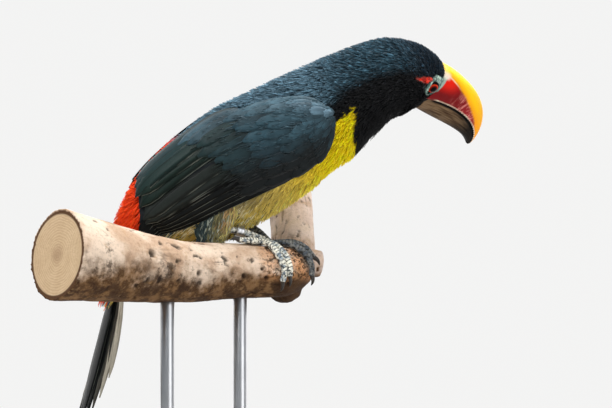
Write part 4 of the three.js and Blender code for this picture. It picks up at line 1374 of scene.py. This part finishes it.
def build_perch():
    """The branch as one skin, with swellings, long ridges, cracks, pits and knot holes
    pressed into it. It carries how near its core a point lies; how low, with painted shade
    added under the grip; how deep in its pits, cracks and knot holes, which its look
    darkens as painted shade; and how worn, sawn and near the bend."""
    points, groups, _ = branch_shells()
    points, quads = fused(points, groups, 0.85)
    points = eased(points, quads, 3)
    centres, along, ups, outers, radii = perch_frame(np.linspace(0, 1, 240))
    near = np.argmin(((points[:, None, :] - centres[None]) ** 2).sum(-1), axis=1)
    offset = points - centres[near]
    ahead, up, outer = (np.einsum("ij,ij->i", offset, way[near]) for way in (along, ups, outers))
    x = run_along(centres)[near] + ahead
    angle = np.arctan2(outer, up)
    core = np.linalg.norm(offset - ahead[:, None] * along[near], axis=1) / radii[near]

    grain = stack(x, 14 * np.sin(angle), 14 * np.cos(angle))
    normal = vertex_normals(points, quads)
    cut = np.abs(np.einsum("ij,ij->i", normal, along[near])) > 0.9
    ridges = layers(grain / [4.0, 1, 1], 3.2, 5)
    pits = rise(layers(grain / [1.6, 1, 1], 3.0, 9), 0.62, 1.05)
    height, stub_end = points[:, 2], rise(points[:, 0], 52, 57)
    gripped = rise(x, 126, 146) * rise(178 - x, 0, 14)
    worn = gripped * rise(np.cos(angle - 0.7), -0.5, 0.1) * rise(height, 105, 111) * (1 - stub_end)
    # Painted shade on the underside of the limb beneath the bird's grip.
    below = gripped * rise(112 - height, 0, 6)
    cracks = rise(1 - np.abs(layers(grain / [7.0, 1, 1], 5.0, 13)) * 9, 0, 1)
    cracks = cracks * np.maximum(rise(field(grain, 14, 15), -0.1, 0.5), 0.9 * worn)
    rough = np.where(up > radii[near] * 0.5, 0.6, 1.0)
    coarse = layers(grain / [1.4, 1, 1], 2.4, 19)
    press = 0.35 * ridges * rough + 0.45 * field(points, 19, 17) - 0.8 * pits - 0.7 * cracks
    press = press + 0.4 * coarse * worn
    press = np.where(cut, -0.25 - 0.3 * rise(np.abs(coarse), 0.9, 1.2), press)
    points = points + normal * press[:, None]
    holes = knot_depth(points)
    points = points - normal * (2.2 * holes)[:, None]

    values = {
        "core": core,
        # Darker towards the bottom of the limb, with the painted shade under the grip added.
        "low": 1.2 * below - np.cos(angle),
        # Pits, cracks and knot holes, which the look darkens as painted shade in the hollows.
        "dark": np.maximum.reduce([pits, cracks, holes]),
        "worn": worn,
        "cut": cut.astype(float),
        "bend": np.maximum(rise(x, 160, 184), stub_end * rise(height, 108, 114)),
    }
    mesh = mesh_of("perch_bark", points, [quads])
    shown("perch_bark", mesh, bark_look(), ("perch",), values=values)


def knot_depth(points):
    """How deep points lie in a knot hole, from 0 to 1: each hole falls from its ragged
    edge to a flat middle."""
    ragged = 0.35 * field(points, 1.6, 21)
    holes = []
    for s, round_, size in KNOT_HOLES:
        gap = np.linalg.norm(points - on_perch(s, round_, 0), axis=-1) + ragged
        holes.append(1 - rise(gap, 0.4 * size, size))
    return np.max(holes, axis=0)


# ---------------------------------------------------------------- legs and feet

LEG = {"tarsus": 2.1, "joint": 2.6, "toe": 2.05, "claw": 1.3}
# Where the toes start, and the further points that each goes through on the branch: how
# far along the limb, and degrees round it from its top.
TOE_ROOTS = {"right": (0.575, -4), "left": (0.66, -24)}
TOES = {
    "right": {
        "inner_front": [(0.583, 2), (0.601, 24), (0.618, 50), (0.626, 76), (0.625, 98)],
        "outer_front": [(0.57, 8), (0.584, 32), (0.603, 62), (0.611, 88), (0.608, 108)],
        "outer_back": [(0.558, 5), (0.535, 12), (0.51, 15), (0.485, 14)],
        "inner_back": [(0.558, -16), (0.54, -32), (0.525, -48)],
    },
    "left": {
        "inner_front": [(0.684, -12), (0.702, 14), (0.713, 42), (0.716, 68)],
        "outer_front": [(0.664, -4), (0.678, 24), (0.687, 54), (0.688, 82), (0.684, 102)],
        "outer_back": [(0.643, -28), (0.62, -40), (0.595, -50)],
        "inner_back": [(0.674, -44), (0.694, -54), (0.716, -62)],
    },
}


def scaled_bar(path, radii, plate, rings_each=26, seed=1):
    """A scaly bar along a path: a smooth curve through its points, the radius at each
    point, and overlapping plates of this length along its upper side with small round
    scales on its flanks. Gives a closed grid and how deep in a seam each corner is."""
    path, keys = np.asarray(path, float), np.arange(len(path))
    u = np.linspace(0, len(path) - 1, rings_each * (len(path) - 1))
    centre, radius = smooth(keys, path, u), smooth(keys, radii, u)
    tangent = unit(np.gradient(centre, axis=0))
    up = unit(np.array([0, 0, 1.0]) - tangent * tangent[:, 2:])
    side = np.cross(tangent, up)
    run = run_along(centre)[:, None]
    a = np.linspace(0, 2 * np.pi, 29)[None, :-1]
    top = rise(np.cos(a), 0.15, 0.5)
    saw = (run / plate + 0.12 * np.cos(a) * 3) % 1
    plates = 0.16 * saw**0.7 - 0.3 * rise(np.abs(saw - 0.5), 0.4, 0.5)
    grains = field(stack(run, 2.2 * np.cos(a), 2.2 * np.sin(a)), 0.85, seed)
    seam = top * rise(np.abs(saw - 0.5), 0.3, 0.44) + (1 - top) * rise(-grains, 0.0, 0.35)
    knuckle = 0.12 * np.sin(4 * np.pi * u / (len(path) - 1))[:, None]
    swell = plates * top + 0.24 * grains * (1 - top) + knuckle - 0.12
    from_middle = np.abs(np.linspace(-1, 1, len(u)))[:, None]
    close = np.sqrt(np.clip(1 - ((from_middle - 0.965) / 0.036).clip(0, 1) ** 2, 0.02, 1))
    reach = (radius[:, None] * 0.97 + swell) * close
    points = rings_round(centre[:, None], up[:, None], side[:, None], reach, a)
    return grid(points, True, True), np.concatenate([seam.ravel(), [0, 0]])


def toe_path(side, name):
    """Points that a toe's middle line goes through, half its thickness over the branch."""
    root = on_perch(*TOE_ROOTS[side], LEG["toe"] + 0.5)
    s, a = np.array(TOES[side][name], float).T
    return np.concatenate([[root], on_perch(s, a, LEG["toe"] + 0.2)])


def shank_path(side):
    """Points of the bare leg from the heel to the foot, a little arched."""
    heel = np.array(HEELS[side], float)
    foot = toe_path(side, "outer_front")[0] + np.array([0, 0, 0.4])
    return np.array([heel, (heel + foot) / 2 + np.array([0, 0, 1.6]), foot])


def build_legs():
    """Both legs: a bar of scales for the shank, and one skin of four such bars for the
    toes, each with its claw."""
    skin, horn = leg_look(), claw_look()
    for side in ("right", "left"):
        radii = [LEG["tarsus"] + 0.3, LEG["tarsus"], LEG["joint"]]
        shank = scaled_bar(shank_path(side), radii, 2.4, 40, seed=3)
        toes = []
        for k, name in enumerate(TOES[side]):
            path = toe_path(side, name)
            radii = LEG["toe"] * (1.1 - 0.22 * np.linspace(0, 1, len(path)))
            toes.append(scaled_bar(path, radii, 1.9, seed=5 + k))
            build_claw(side, name, path, horn)
        for label, bars in (("tarsus", [shank]), ("foot", toes)):
            shell = joined([bar for bar, _ in bars])
            # Marks the further leg, which the look darkens as painted shade.
            far = np.full(len(shell[0]), float(side == "left"))
            values = {"seam": np.concatenate([seam for _, seam in bars]), "far": far}
            moulded(f"{label}_skin_{side}", shell, skin, (f"{label}_{side}",),
                    margin=0, values=values)


def build_claw(side, name, path, look):
    """A curved claw that goes on from the toe's end towards the branch's surface,
    thicker from top to bottom than across, and coming to a point."""
    end, ahead = path[-1], unit(path[-1] - path[-2])
    inward = unit(end - on_perch(*TOES[side][name][-1], 9))
    t = np.linspace(0, 1, 30)
    sink = -0.9 * np.sin(np.pi * t) + 0.45 * t**2
    centre = end + ahead * (-0.6 + 6.2 * t)[:, None] + inward * sink[:, None]
    radius = LEG["claw"] * np.interp(t, [0, 0.1, 0.35, 0.7, 0.93, 1], [0.95, 1.02, 0.85, 0.55, 0.24, 0.05])
    tangent = unit(np.gradient(centre, axis=0))
    sideways = unit(np.cross(tangent, inward))
    over = np.cross(sideways, tangent)
    a = np.linspace(0, 2 * np.pi, 21)[None, :-1]
    points = rings_round(centre[:, None], 0.8 * sideways[:, None], 1.1 * over[:, None], radius[:, None], a)
    moulded(f"claw_horn_{side}_{name}", grid(points, True, True), look, (f"claw_{side}_{name}",),
            margin=0, values={"along": np.concatenate([np.repeat(t, 20), [0, 1]])})


def lathe(name, origin, axis, profile, look, replaces=()):
    """A profile of (radius, height) pairs turned round an axis. Its ends are closed,
    unless it comes back to its first point."""
    axis = unit(np.asarray(axis, float))
    first = unit(np.cross(axis, [0.3, 1.0, 0.2]))
    closed = profile[0] == profile[-1]
    r, h = np.array(profile[:-1] if closed else profile, float).T
    a = np.linspace(0, 2 * np.pi, 73)[None, :-1]
    centre = np.asarray(origin) + h[:, None, None] * axis
    points = rings_round(centre, first, np.cross(axis, first), r[:, None], a)
    return moulded(name, grid(points, True, not closed, closed), look, replaces)


def build_ring():
    """The leg ring: a flat band with turned edges and a shallow groove round its middle."""
    heel, middle, end = shank_path("right")
    inside, outside, half, bevel, groove = 2.75, 3.18, 2.15, 0.14, 0.18
    upper = [(outside, half - bevel), (outside - bevel, half), (inside + bevel, half), (inside, half - bevel)]
    lower = [(r, -h) for r, h in reversed(upper)]
    profile = [*lower, (outside, -groove), (outside - 0.1, 0), (outside, groove), *upper, lower[0]]
    steel = metal_look("band_metal", 0.28, 0.62)
    lathe("leg_band", middle, end - heel, profile, steel, ("leg_ring",))


# -------------------------------------------------------------------- the stand

# The rods stand under these places along the limb.
STAND = {
    "length": 190, "width": 130, "thick": 12, "corner": 14, "bevel": 1.5,
    "rod": 4, "rods": (0.3, 0.5), "socket": 6,
}


def build_stand():
    """The board is a rounded oblong whose edge is turned over in a small quarter round,
    and each rod a round bar from its socket into the branch, with a collar at its foot."""
    a = np.linspace(0, 2 * np.pi, 241)[None, :-1]
    bevel, thick, rod = STAND["bevel"], STAND["thick"], STAND["rod"]
    q = np.linspace(0, np.pi / 2, 7)
    out, over = bevel * (1 - np.sin(q)), bevel * (1 - np.cos(q))
    inset_by = np.concatenate([[9, 3], out, [0], over, [3, 9, 30, 58]])
    height = np.concatenate([[0, 0], over, [thick / 2], thick - out, [thick] * 4])[:, None]
    corner = np.maximum(STAND["corner"] - inset_by, 0.5)[:, None]
    inner = np.maximum(inset_by, STAND["corner"])[:, None]
    x, y = (
        corner * way + np.sign(way) * (STAND[k] / 2 - inner) * rise(np.abs(way), 0.0, 0.05)
        for k, way in (("length", np.cos(a)), ("width", np.sin(a)))
    )
    moulded("stand_board", grid(stack(x, y, height), True, True), board_look(), ("stand_base",))

    steel, up = metal_look("rod_steel", 0.3, 0.55), (0, 0, 1)
    collar = [
        (rod + 0.02, thick), (rod + 2.4, thick), (rod + 2.4, thick + 1.0), (rod + 1.8, thick + 1.6),
        (rod + 0.02, thick + 1.6), (rod + 0.02, thick),
    ]
    for k, s in enumerate(STAND["rods"], 1):
        centre, _, _, _, radius = perch_frame(s)
        foot = (centre[0], centre[1], 0)
        low, high = thick - STAND["socket"], centre[2] - radius + 8
        bar = [(rod - 0.4, low), (rod, low + 0.4), (rod, thick + 1), (rod, high - 1), (rod - 0.8, high)]
        lathe(f"stand_bar_{k}", foot, up, bar, steel, (f"stand_rod_{k}",))
        lathe(f"stand_collar_{k}", foot, up, collar, steel)


# ------------------------------------------------------------------------ looks


def feather_look(name, streak=0.3):
    """Plumage: the feathers' own colours, streaked along by fine barbs."""
    look = Look(name, 0.62, Sheen_Weight=0.05, Sheen_Roughness=0.4, Specular_IOR_Level=0.22)
    across, along, _ = look.map("vane")
    barbs = look.noise(look.join(across * 9, along * 1.5), 2.0, 2.0)
    drift = look.noise(look.object, 260.0, 2.0)
    shade = 1 + (barbs - 0.5) * (2 * streak) + (drift - 0.5) * 0.5
    look.feed(Base_Color=look.shaded(look.painted(), shade))
    look.bump(barbs, 0.0002, 0.5)
    return look.material


def flight_look():
    """Flight and tail feathers: dark, with a paler rim, partly the feather's own edge and
    partly a painted highlight, a band of painted shade just inside the rim, a quill, and
    barbs that leave it at a slant on both sides."""
    look = Look("flight_feathers", 0.42, Specular_IOR_Level=0.1)
    across, along, _ = look.map("vane")
    quill = 1 - (across - 0.56).distance().rise(0.015, 0.05)
    # The rim: a paler edge, partly the feather's own and partly a painted highlight.
    rim = (1 - across.rise(0.02, 0.07)) * look.noise(look.object, 45.0, 2.0).rise(0.42, 0.6)
    barbs = ((along + (across - 0.5).distance() * -0.12) * 420).sine() * 0.5 + 0.5
    patch = look.noise(look.join(across * 3, along * 14), 1.4, 3.0)
    # The last term is a band of painted shade just inside the rim.
    shade = 0.75 + patch * 0.5 + barbs * 0.1 - (1 - (across - 0.12).distance().rise(0.0, 0.1)) * 0.3
    colour = look.shaded(look.painted(), shade)
    colour = look.over(colour, (tint(120, 126, 118), rim * 0.8), (tint(12, 12, 13), quill * 0.55))
    look.feed(Base_Color=colour, Roughness=0.36 + patch * 0.16)
    look.bump(barbs * 0.5 + quill, 0.0001, 0.5)
    return look.material


def covert_look():
    """Wing coverts and scapulars: slate vanes with soft barbs and a thin paler edge,
    partly their own fringe and partly a painted highlight; darker towards the root,
    painted shade under the feather over it, and lighter at the tip, a painted highlight.
    """
    look = Look("covert_feathers", 0.55, Sheen_Weight=0.05, Sheen_Roughness=0.4, Specular_IOR_Level=0.14)
    across, along, _ = look.map("vane")
    barbs = look.noise(look.join(across * 12 + along * 3, along * 3), 2.4, 3.0)
    tip = along.rise(0.8, 1.0)
    edge = (across - 0.5).distance().rise(0.4, 0.48)
    # Painted shade towards the root, painted highlight at the tip and along the edges.
    shade = 0.7 + barbs * 0.5 + tip * 0.16 + edge * 0.5 - (1 - along.rise(0.3, 0.75)) * 0.2
    drift = look.noise(look.object, 150.0, 4.0, 0.65)
    colour = look.shaded(look.painted(), shade * (0.25 + drift * 1.5))
    look.feed(Base_Color=colour, Roughness=0.48 + barbs * 0.14)
    look.bump(barbs, 0.00022, 0.5)
    return look.material


def feather_bed():
    """Dark down under the wing's feathers."""
    look = Look("wing_bed", 0.8, Specular_IOR_Level=0.2)
    down = look.noise(look.object, 900.0, 3.0)
    look.feed(Base_Color=look.mix(down, tint(14, 17, 19), tint(30, 36, 40)))
    look.bump(down, 0.0003, 0.6)
    return look.material


@cache
def skin_look():
    """Skin: dull under the coat; where bare, moist, wrinkled and beaded, with painted shade in
    the wrinkles' troughs and painted light on their ridges.
    """
    look = Look("skin", 0.6, Specular_IOR_Level=0.12)
    bare = look.attribute("bare")
    beads = look.cells(look.object, 1500.0)
    folds = look.noise(look.stretched(look.object, (1.0, 1.0, 2.4)), 420.0, 4.0)
    # On bare skin: painted shade in the wrinkles' troughs, painted light on their ridges.
    colour = look.mix(bare, look.painted(), look.shaded(look.painted(), 0.72 + folds * 0.5))
    look.feed(Base_Color=colour, Roughness=0.8 - bare * 0.36)
    look.bump((beads * -0.5 + folds) * bare, 0.0003, 0.7)
    return look.material


def upper_look():
    """Upper mandible: a yellow ridge turning orange to the tip, with a painted highlight
    at its base, over sides that are scarlet at the base and dull dark red further on,
    with pale chips; an ivory line with black below it along the cutting edge, and a
    whitish patch at the base."""
    look = Look("bill_upper_horn", 0.3, Specular_IOR_Level=0.03)
    along, edge, border, share = (look.attribute(k) for k in ("along", "edge", "border", "share"))
    wave = look.noise(look.object, 180.0, 3.0)
    grain = look.noise(look.stretched(look.object, (1.0, 1.0, 0.4)), 900.0, 3.0)
    ridge = look.over(
        look.mix(border.rise(0.0, 4.5), tint(250, 164, 4), tint(255, 212, 0)),
        (tint(246, 150, 0), along.rise(0.2, 0.8) * 0.8),
        # Painted highlight along the ridge near the bill's base.
        (tint(250, 232, 150), (1 - along.rise(0.0, 0.06)) * 0.35),
    )
    scarlet = share.rise(0.25, 0.7) * (1 - along.rise(0.08, 0.26))
    chips = look.noise(look.join(along * 34, share * 3), 1.0, 3.0, 0.6).rise(0.46, 0.66)
    side = look.over(
        look.mix(scarlet, tint(112, 14, 18), tint(228, 34, 14)),
        (tint(160, 40, 44), along.rise(0.25, 0.5) * 0.7),
        (tint(240, 150, 138), chips * along.rise(0.16, 0.4) * 0.7),
        (tint(236, 122, 14), along.rise(0.62, 0.84)),
    )
    middle = along.rise(0.16, 0.32) * (1 - along.rise(0.6, 0.75))
    dusk = (1 - (border + 0.8).distance().rise(0.2, 1.0)) * middle
    root = 1 - (along + (wave - 0.5) * 0.02).rise(0.022, 0.034)
    mint = share.rise(0.3, 0.5) * (1 - share.rise(0.82, 0.92)) * root
    white = (1 - (share - 0.84).distance().rise(0.02, 0.13)) * (1 - along.rise(0.03, 0.075))
    seam = (1 - border.distance().rise(0.0, 0.7)) * (1 - along.rise(0.1, 0.24))
    ivory = (1 - edge.rise(0.9, 1.3)) * along.rise(0.05, 0.1)
    notch = (along * (2 * np.pi * NOTCHES)).sine().rise(0.35, 0.8)
    notch = notch * along.rise(0.26, 0.36) * (1 - edge.rise(0.7, 1.2))
    colour = look.over(
        look.mix((border + (wave - 0.5) * 1.6).rise(-0.9, 1.1), side, ridge),
        (tint(150, 60, 40), dusk * 0.4),
        (tint(150, 178, 164), mint * 0.95),
        (tint(240, 228, 208), white * 0.9),
        (tint(250, 214, 190), seam * 0.7),
        (tint(222, 208, 180), ivory * (0.35 + wave.rise(0.35, 0.6) * 0.6)),
        (tint(34, 22, 18), notch * 0.8),
        (tint(18, 14, 12), (1 - edge.rise(0.22, 0.4)) * along.rise(0.04, 0.1)),
    )
    look.feed(Base_Color=colour, Roughness=0.24 + grain * 0.18)
    look.bump(grain + wave * 0.5, 0.00012, 0.5)
    return look.material


def lower_look():
    """Lower mandible: warm grey-brown horn, darker towards its tip and in streaks, and
    darker towards its underside as painted shade, with a black cutting edge and a paler base."""
    look = Look("bill_lower_horn", 0.45, Specular_IOR_Level=0.02)
    along, edge, share = (look.attribute(k) for k in ("along", "edge", "share"))
    streak = look.noise(look.join(along * 5, share * 9), 1.0, 4.0)
    colour = look.over(
        look.mix(streak.rise(0.35, 0.68), tint(116, 94, 70), tint(58, 40, 27)),
        # Painted shade towards the underside.
        (tint(40, 26, 17), share.rise(0.5, 0.95) * 0.45),
        (tint(7, 5, 3), along.rise(0.3, 0.72) * 0.92),
        (tint(132, 108, 84), (1 - along.rise(0.0, 0.14)) * 0.5),
        (tint(16, 14, 13), (1 - edge.rise(0.7, 1.7)) * along.rise(0.03, 0.1)),
    )
    look.feed(Base_Color=colour, Roughness=0.4 + streak * 0.2)
    look.bump(streak, 0.00015, 0.5)
    return look.material


@cache
def eye_look():
    """Eye: black pupil, dark red-brown iris with fine rays and an orange rim."""
    look = Look("eye", 0.2, Specular_IOR_Level=0.03, Coat_Weight=0.05, Coat_Roughness=0.02)
    reach = look.attribute("reach")
    rays = look.noise(look.object, 2600.0, 2.0)
    look.feed(Base_Color=look.over(
        look.mix(reach.rise(1.6, 2.4), tint(60, 10, 6), tint(140, 26, 12)),
        (tint(40, 12, 8), rays * 0.5),
        (tint(204, 54, 22), reach.rise(2.25, 2.5)),
        (tint(16, 7, 6), reach.rise(2.8, 3.1)),
        (tint(3, 3, 3), 1 - reach.rise(1.6, 1.75)),
    ))
    return look.material


def leg_look():
    """Scaled skin: pale grey plates with a blue cast over dark seams; the further foot
    is darker, painted shade."""
    look = Look("leg_scales", 0.5, Specular_IOR_Level=0.45)
    seam, far = look.attribute("seam"), look.attribute("far")
    patch = look.noise(look.object, 420.0, 3.0)
    fine = look.noise(look.object, 1900.0, 2.0)
    colour = look.over(
        look.mix(patch.rise(0.35, 0.6), tint(116, 132, 144), tint(240, 236, 218)),
        (tint(60, 66, 68), fine.rise(0.5, 0.7) * 0.6),
        # Painted shade over the further foot.
        (tint(30, 38, 50), far * 0.8),
        (tint(14, 14, 14), seam * 0.95),
    )
    look.feed(Base_Color=colour, Roughness=0.42 + fine * 0.25)
    look.bump(fine - seam, 0.0002, 0.7)
    return look.material


def claw_look():
    """Claws: dark horn with paler streaks, blackest at the tip."""
    look = Look("claw_horn", 0.3, Specular_IOR_Level=0.3, Coat_Weight=0.1, Coat_Roughness=0.2)
    along = look.attribute("along")
    streak = look.noise(look.stretched(look.object, (1, 1, 0.3)), 1400.0, 3.0)
    colour = look.mix(along.rise(0.1, 0.9), tint(50, 46, 43), tint(20, 17, 16))
    look.feed(Base_Color=look.mix(streak * 0.3, colour, tint(84, 76, 68)), Roughness=0.26 + streak * 0.2)
    look.bump(streak, 0.0001, 0.4)
    return look.material


def metal_look(name, roughness, value):
    """Turned or drawn metal, with fine lines and a little tarnish."""
    look = Look(name, roughness, Metallic=1.0)
    lines = look.noise(look.stretched(look.object, (1, 1, 30)), 300.0, 2.0)
    tarnish = look.noise(look.object, 90.0, 3.0)
    pale = value * np.array([1, 1.01, 1.03])
    colour = look.mix(tarnish.rise(0.4, 0.8) * 0.3, pale, pale * 0.6)
    look.feed(Base_Color=colour, Roughness=roughness - 0.06 + lines * 0.16)
    look.bump(lines, 0.00004, 0.5)
    return look.material


def bark_look():
    """Worn bark: cream to pinkish above, brown below and in painted shade under the grip,
    stained dark in patches, darker in pits, cracks and knot holes as painted shade, rubbed
    orange-brown where the feet grip, and bare wood at the sawn ends."""
    look = Look("bark", 0.85, Specular_IOR_Level=0.25)
    low, dark, worn, cut = (look.attribute(k) for k in ("low", "dark", "worn", "cut"))
    bend, core = (look.attribute(k) for k in ("bend", "core"))
    broad = look.noise(look.object, 42.0, 4.0)
    patch = look.noise(look.object, 130.0, 4.0, 0.65)
    fine = look.noise(look.object, 620.0, 4.0, 0.7)
    stain = (look.noise(look.object, 75.0, 5.0, 0.7) + low * 0.09).rise(0.55, 0.66)
    cream = look.mix(broad.rise(0.4, 0.62), tint(222, 200, 178), tint(186, 156, 130))
    brown = look.mix(patch.rise(0.4, 0.62), tint(128, 96, 64), tint(66, 44, 24))
    # Brown towards the bottom, and in the painted shade under the grip.
    lower = (low + (broad - 0.5) * 1.6 + (patch - 0.5) * 1.4).rise(-0.35, 0.55)
    bark = look.over(
        look.mix(lower, cream, brown),
        (tint(176, 138, 96), patch.rise(0.56, 0.72) * 0.5),
        (tint(56, 38, 24), stain * 0.8),
        (tint(226, 204, 192), bend * patch.rise(0.3, 0.6) * 0.7),
        (tint(206, 146, 98), worn * patch.rise(0.3, 0.6) * 0.75),
        (tint(30, 19, 12), worn * fine.rise(0.48, 0.58) * 0.9),
        (tint(92, 68, 48), fine.rise(0.5, 0.75) * 0.4),
        # Painted shade in pits, cracks and knot holes.
        (tint(34, 24, 18), dark * 0.85),
    )
    rings = ((core + (broad - 0.5) * 0.2 + (patch - 0.5) * 0.05) * 110).sine() * 0.5 + 0.5
    wood = look.over(
        look.mix(rings * 0.22 + patch * 0.5, tint(214, 188, 152), tint(150, 114, 78)),
        (tint(120, 86, 58), (1 - core.rise(0.03, 0.3)) * 0.4),
        (tint(84, 58, 38), core.rise(0.86, 0.9)),
    )
    look.feed(Base_Color=look.mix(cut, bark, wood), Roughness=0.78 + fine * 0.18)
    look.bump(fine + patch, 0.0007, 0.9)
    return look.material


def board_look():
    """Dark stained board: fine grain lines along its length under a satin finish."""
    look = Look("stained_board", 0.42, Specular_IOR_Level=0.45, Coat_Weight=0.2, Coat_Roughness=0.25)
    bend = look.noise(look.stretched(look.object, (1, 3, 1)), 12.0, 2.0)
    x, y, z = look.split(look.object)
    lines = look.noise(look.join(x * 14, (y + bend * 0.01) * 420, z * 420), 1.0, 4.0, 0.65)
    colour = look.mix(lines.rise(0.35, 0.68), tint(58, 44, 36), tint(30, 23, 20))
    look.feed(Base_Color=colour, Roughness=0.34 + lines * 0.16)
    look.bump(lines, 0.00012, 0.5)
    return look.material


# ------------------------------------------------------------- camera and light


def paper_look(name, surround=None):
    """Matt pale paper. Where a surround colour is given, the paper fades into it from
    about a third of a metre out, by glowing as its own colour dies away."""
    look = Look(name, 0.9, Specular_IOR_Level=0.0, Emission_Strength=1.0)
    colour = look.mix(look.noise(look.object, 3.0, 2.0), (0.54, 0.53, 0.52), (0.58, 0.57, 0.56))
    if surround is not None:
        x, y, _ = look.split(look.object)
        far = (x * x + y * y).rise(0.1, 1.4)
        look.feed(Emission_Color=look.mix(far, (0.0, 0.0, 0.0), surround))
        colour = look.mix(far, colour, (0.0, 0.0, 0.0))
    look.feed(Base_Color=colour)
    return look.material


def stage_sheet(name, centre, half, other_half, material):
    """A flat oblong sheet of the stage, in metres: its centre, and half of each side."""
    way = np.array([-1.0, 1.0])[:, None]
    points = centre + way[:, None] * half + way * other_half
    flat, groups, _ = grid(points / MM)
    mesh = mesh_of(name, flat, groups)
    mesh.materials.append(material)
    sheet = bpy.data.objects.new(name, mesh)
    bpy.context.scene.collection.objects.link(sheet)
    return sheet


def build_world(surround):
    """Faint cool light from all round, while the camera sees the plain surround."""
    world = bpy.data.worlds.new("soft_room")
    bpy.context.scene.world = world
    world.use_nodes = True
    nodes, links = world.node_tree.nodes, world.node_tree.links
    lit, seen = nodes["Background"], nodes.new("ShaderNodeBackground")
    lit.inputs["Color"].default_value, lit.inputs["Strength"].default_value = (0.86, 0.93, 1.0, 1), 0.3
    seen.inputs["Color"].default_value = (*surround, 1)
    path, either = nodes.new("ShaderNodeLightPath"), nodes.new("ShaderNodeMixShader")
    links.new(path.outputs["Is Camera Ray"], either.inputs[0])
    links.new(lit.outputs[0], either.inputs[1])
    links.new(seen.outputs[0], either.inputs[2])
    links.new(either.outputs[0], nodes["World Output"].inputs["Surface"])


def build_stage():
    """A pale floor that fades into a plain pale surround, a wall behind that is not
    seen and only throws light back, soft light from large panels above and in front,
    and the camera, level, a little round to the bird's rear."""
    turn = np.radians(12)
    facing = np.array([np.sin(turn), np.cos(turn), 0])
    aside = np.array([np.cos(turn), -np.sin(turn), 0])
    up = np.array([0, 0, 1.0])
    surround = (0.9, 0.9, 0.895)
    build_world(surround)
    stage_sheet("floor", 0 * up, 9 * facing, 9 * aside, paper_look("floor_paper", surround))
    wall = stage_sheet("wall", 1.25 * facing + 1.7 * up, 1.7 * up, 3 * aside, paper_look("wall_paper"))
    wall.visible_camera = wall.visible_shadow = False

    centre = np.array([0.03, 0.0, 0.16])
    for name, place, size, power in (
        ("key", -0.5 * aside - 0.75 * facing + 1.15 * up, 0.8, 19.4),
        ("top", 0.25 * aside + 0.15 * facing + 1.2 * up, 0.8, 15.4),
        ("fill", 0.9 * aside - 0.8 * facing + 0.3 * up, 0.9, 5.0),
    ):
        lamp = bpy.data.lights.new(name, "AREA")
        lamp.shape, lamp.size, lamp.energy = "SQUARE", size, power
        stand(name, lamp, centre + place, centre)

    lens = bpy.data.cameras.new("camera")
    target = np.array([0.0500, -0.0106, 0.1502])
    distance, width = 8.0, 0.3438
    lens.sensor_width = 36.0
    lens.lens = lens.sensor_width * distance / width
    lens.clip_start, lens.clip_end = 0.1, 30
    bpy.context.scene.camera = stand("camera", lens, target - distance * facing, target)
    bpy.context.scene.view_settings.view_transform = "Standard"


def stand(name, data, place, target):
    """A lamp or camera put at a place, looking at a target."""
    thing = bpy.data.objects.new(name, data)
    thing.location = place
    thing.rotation_mode = "QUATERNION"
    thing.rotation_quaternion = (Vector(target) - Vector(place)).to_track_quat("-Z", "Y")
    bpy.context.scene.collection.objects.link(thing)
    return thing


# ---------------------------------------------------------------------- assembly

build_skin()
build_body_coat()
build_thighs()
build_wing("right")
build_wing("left")
build_tail()
build_bill()
for side_name, side_sign in (("right", -1), ("left", 1)):
    build_eyeball(side_name, side_sign)
    build_eyelids(side_name, side_sign)
build_perch()
build_legs()
build_ring()
build_stand()
build_stage()
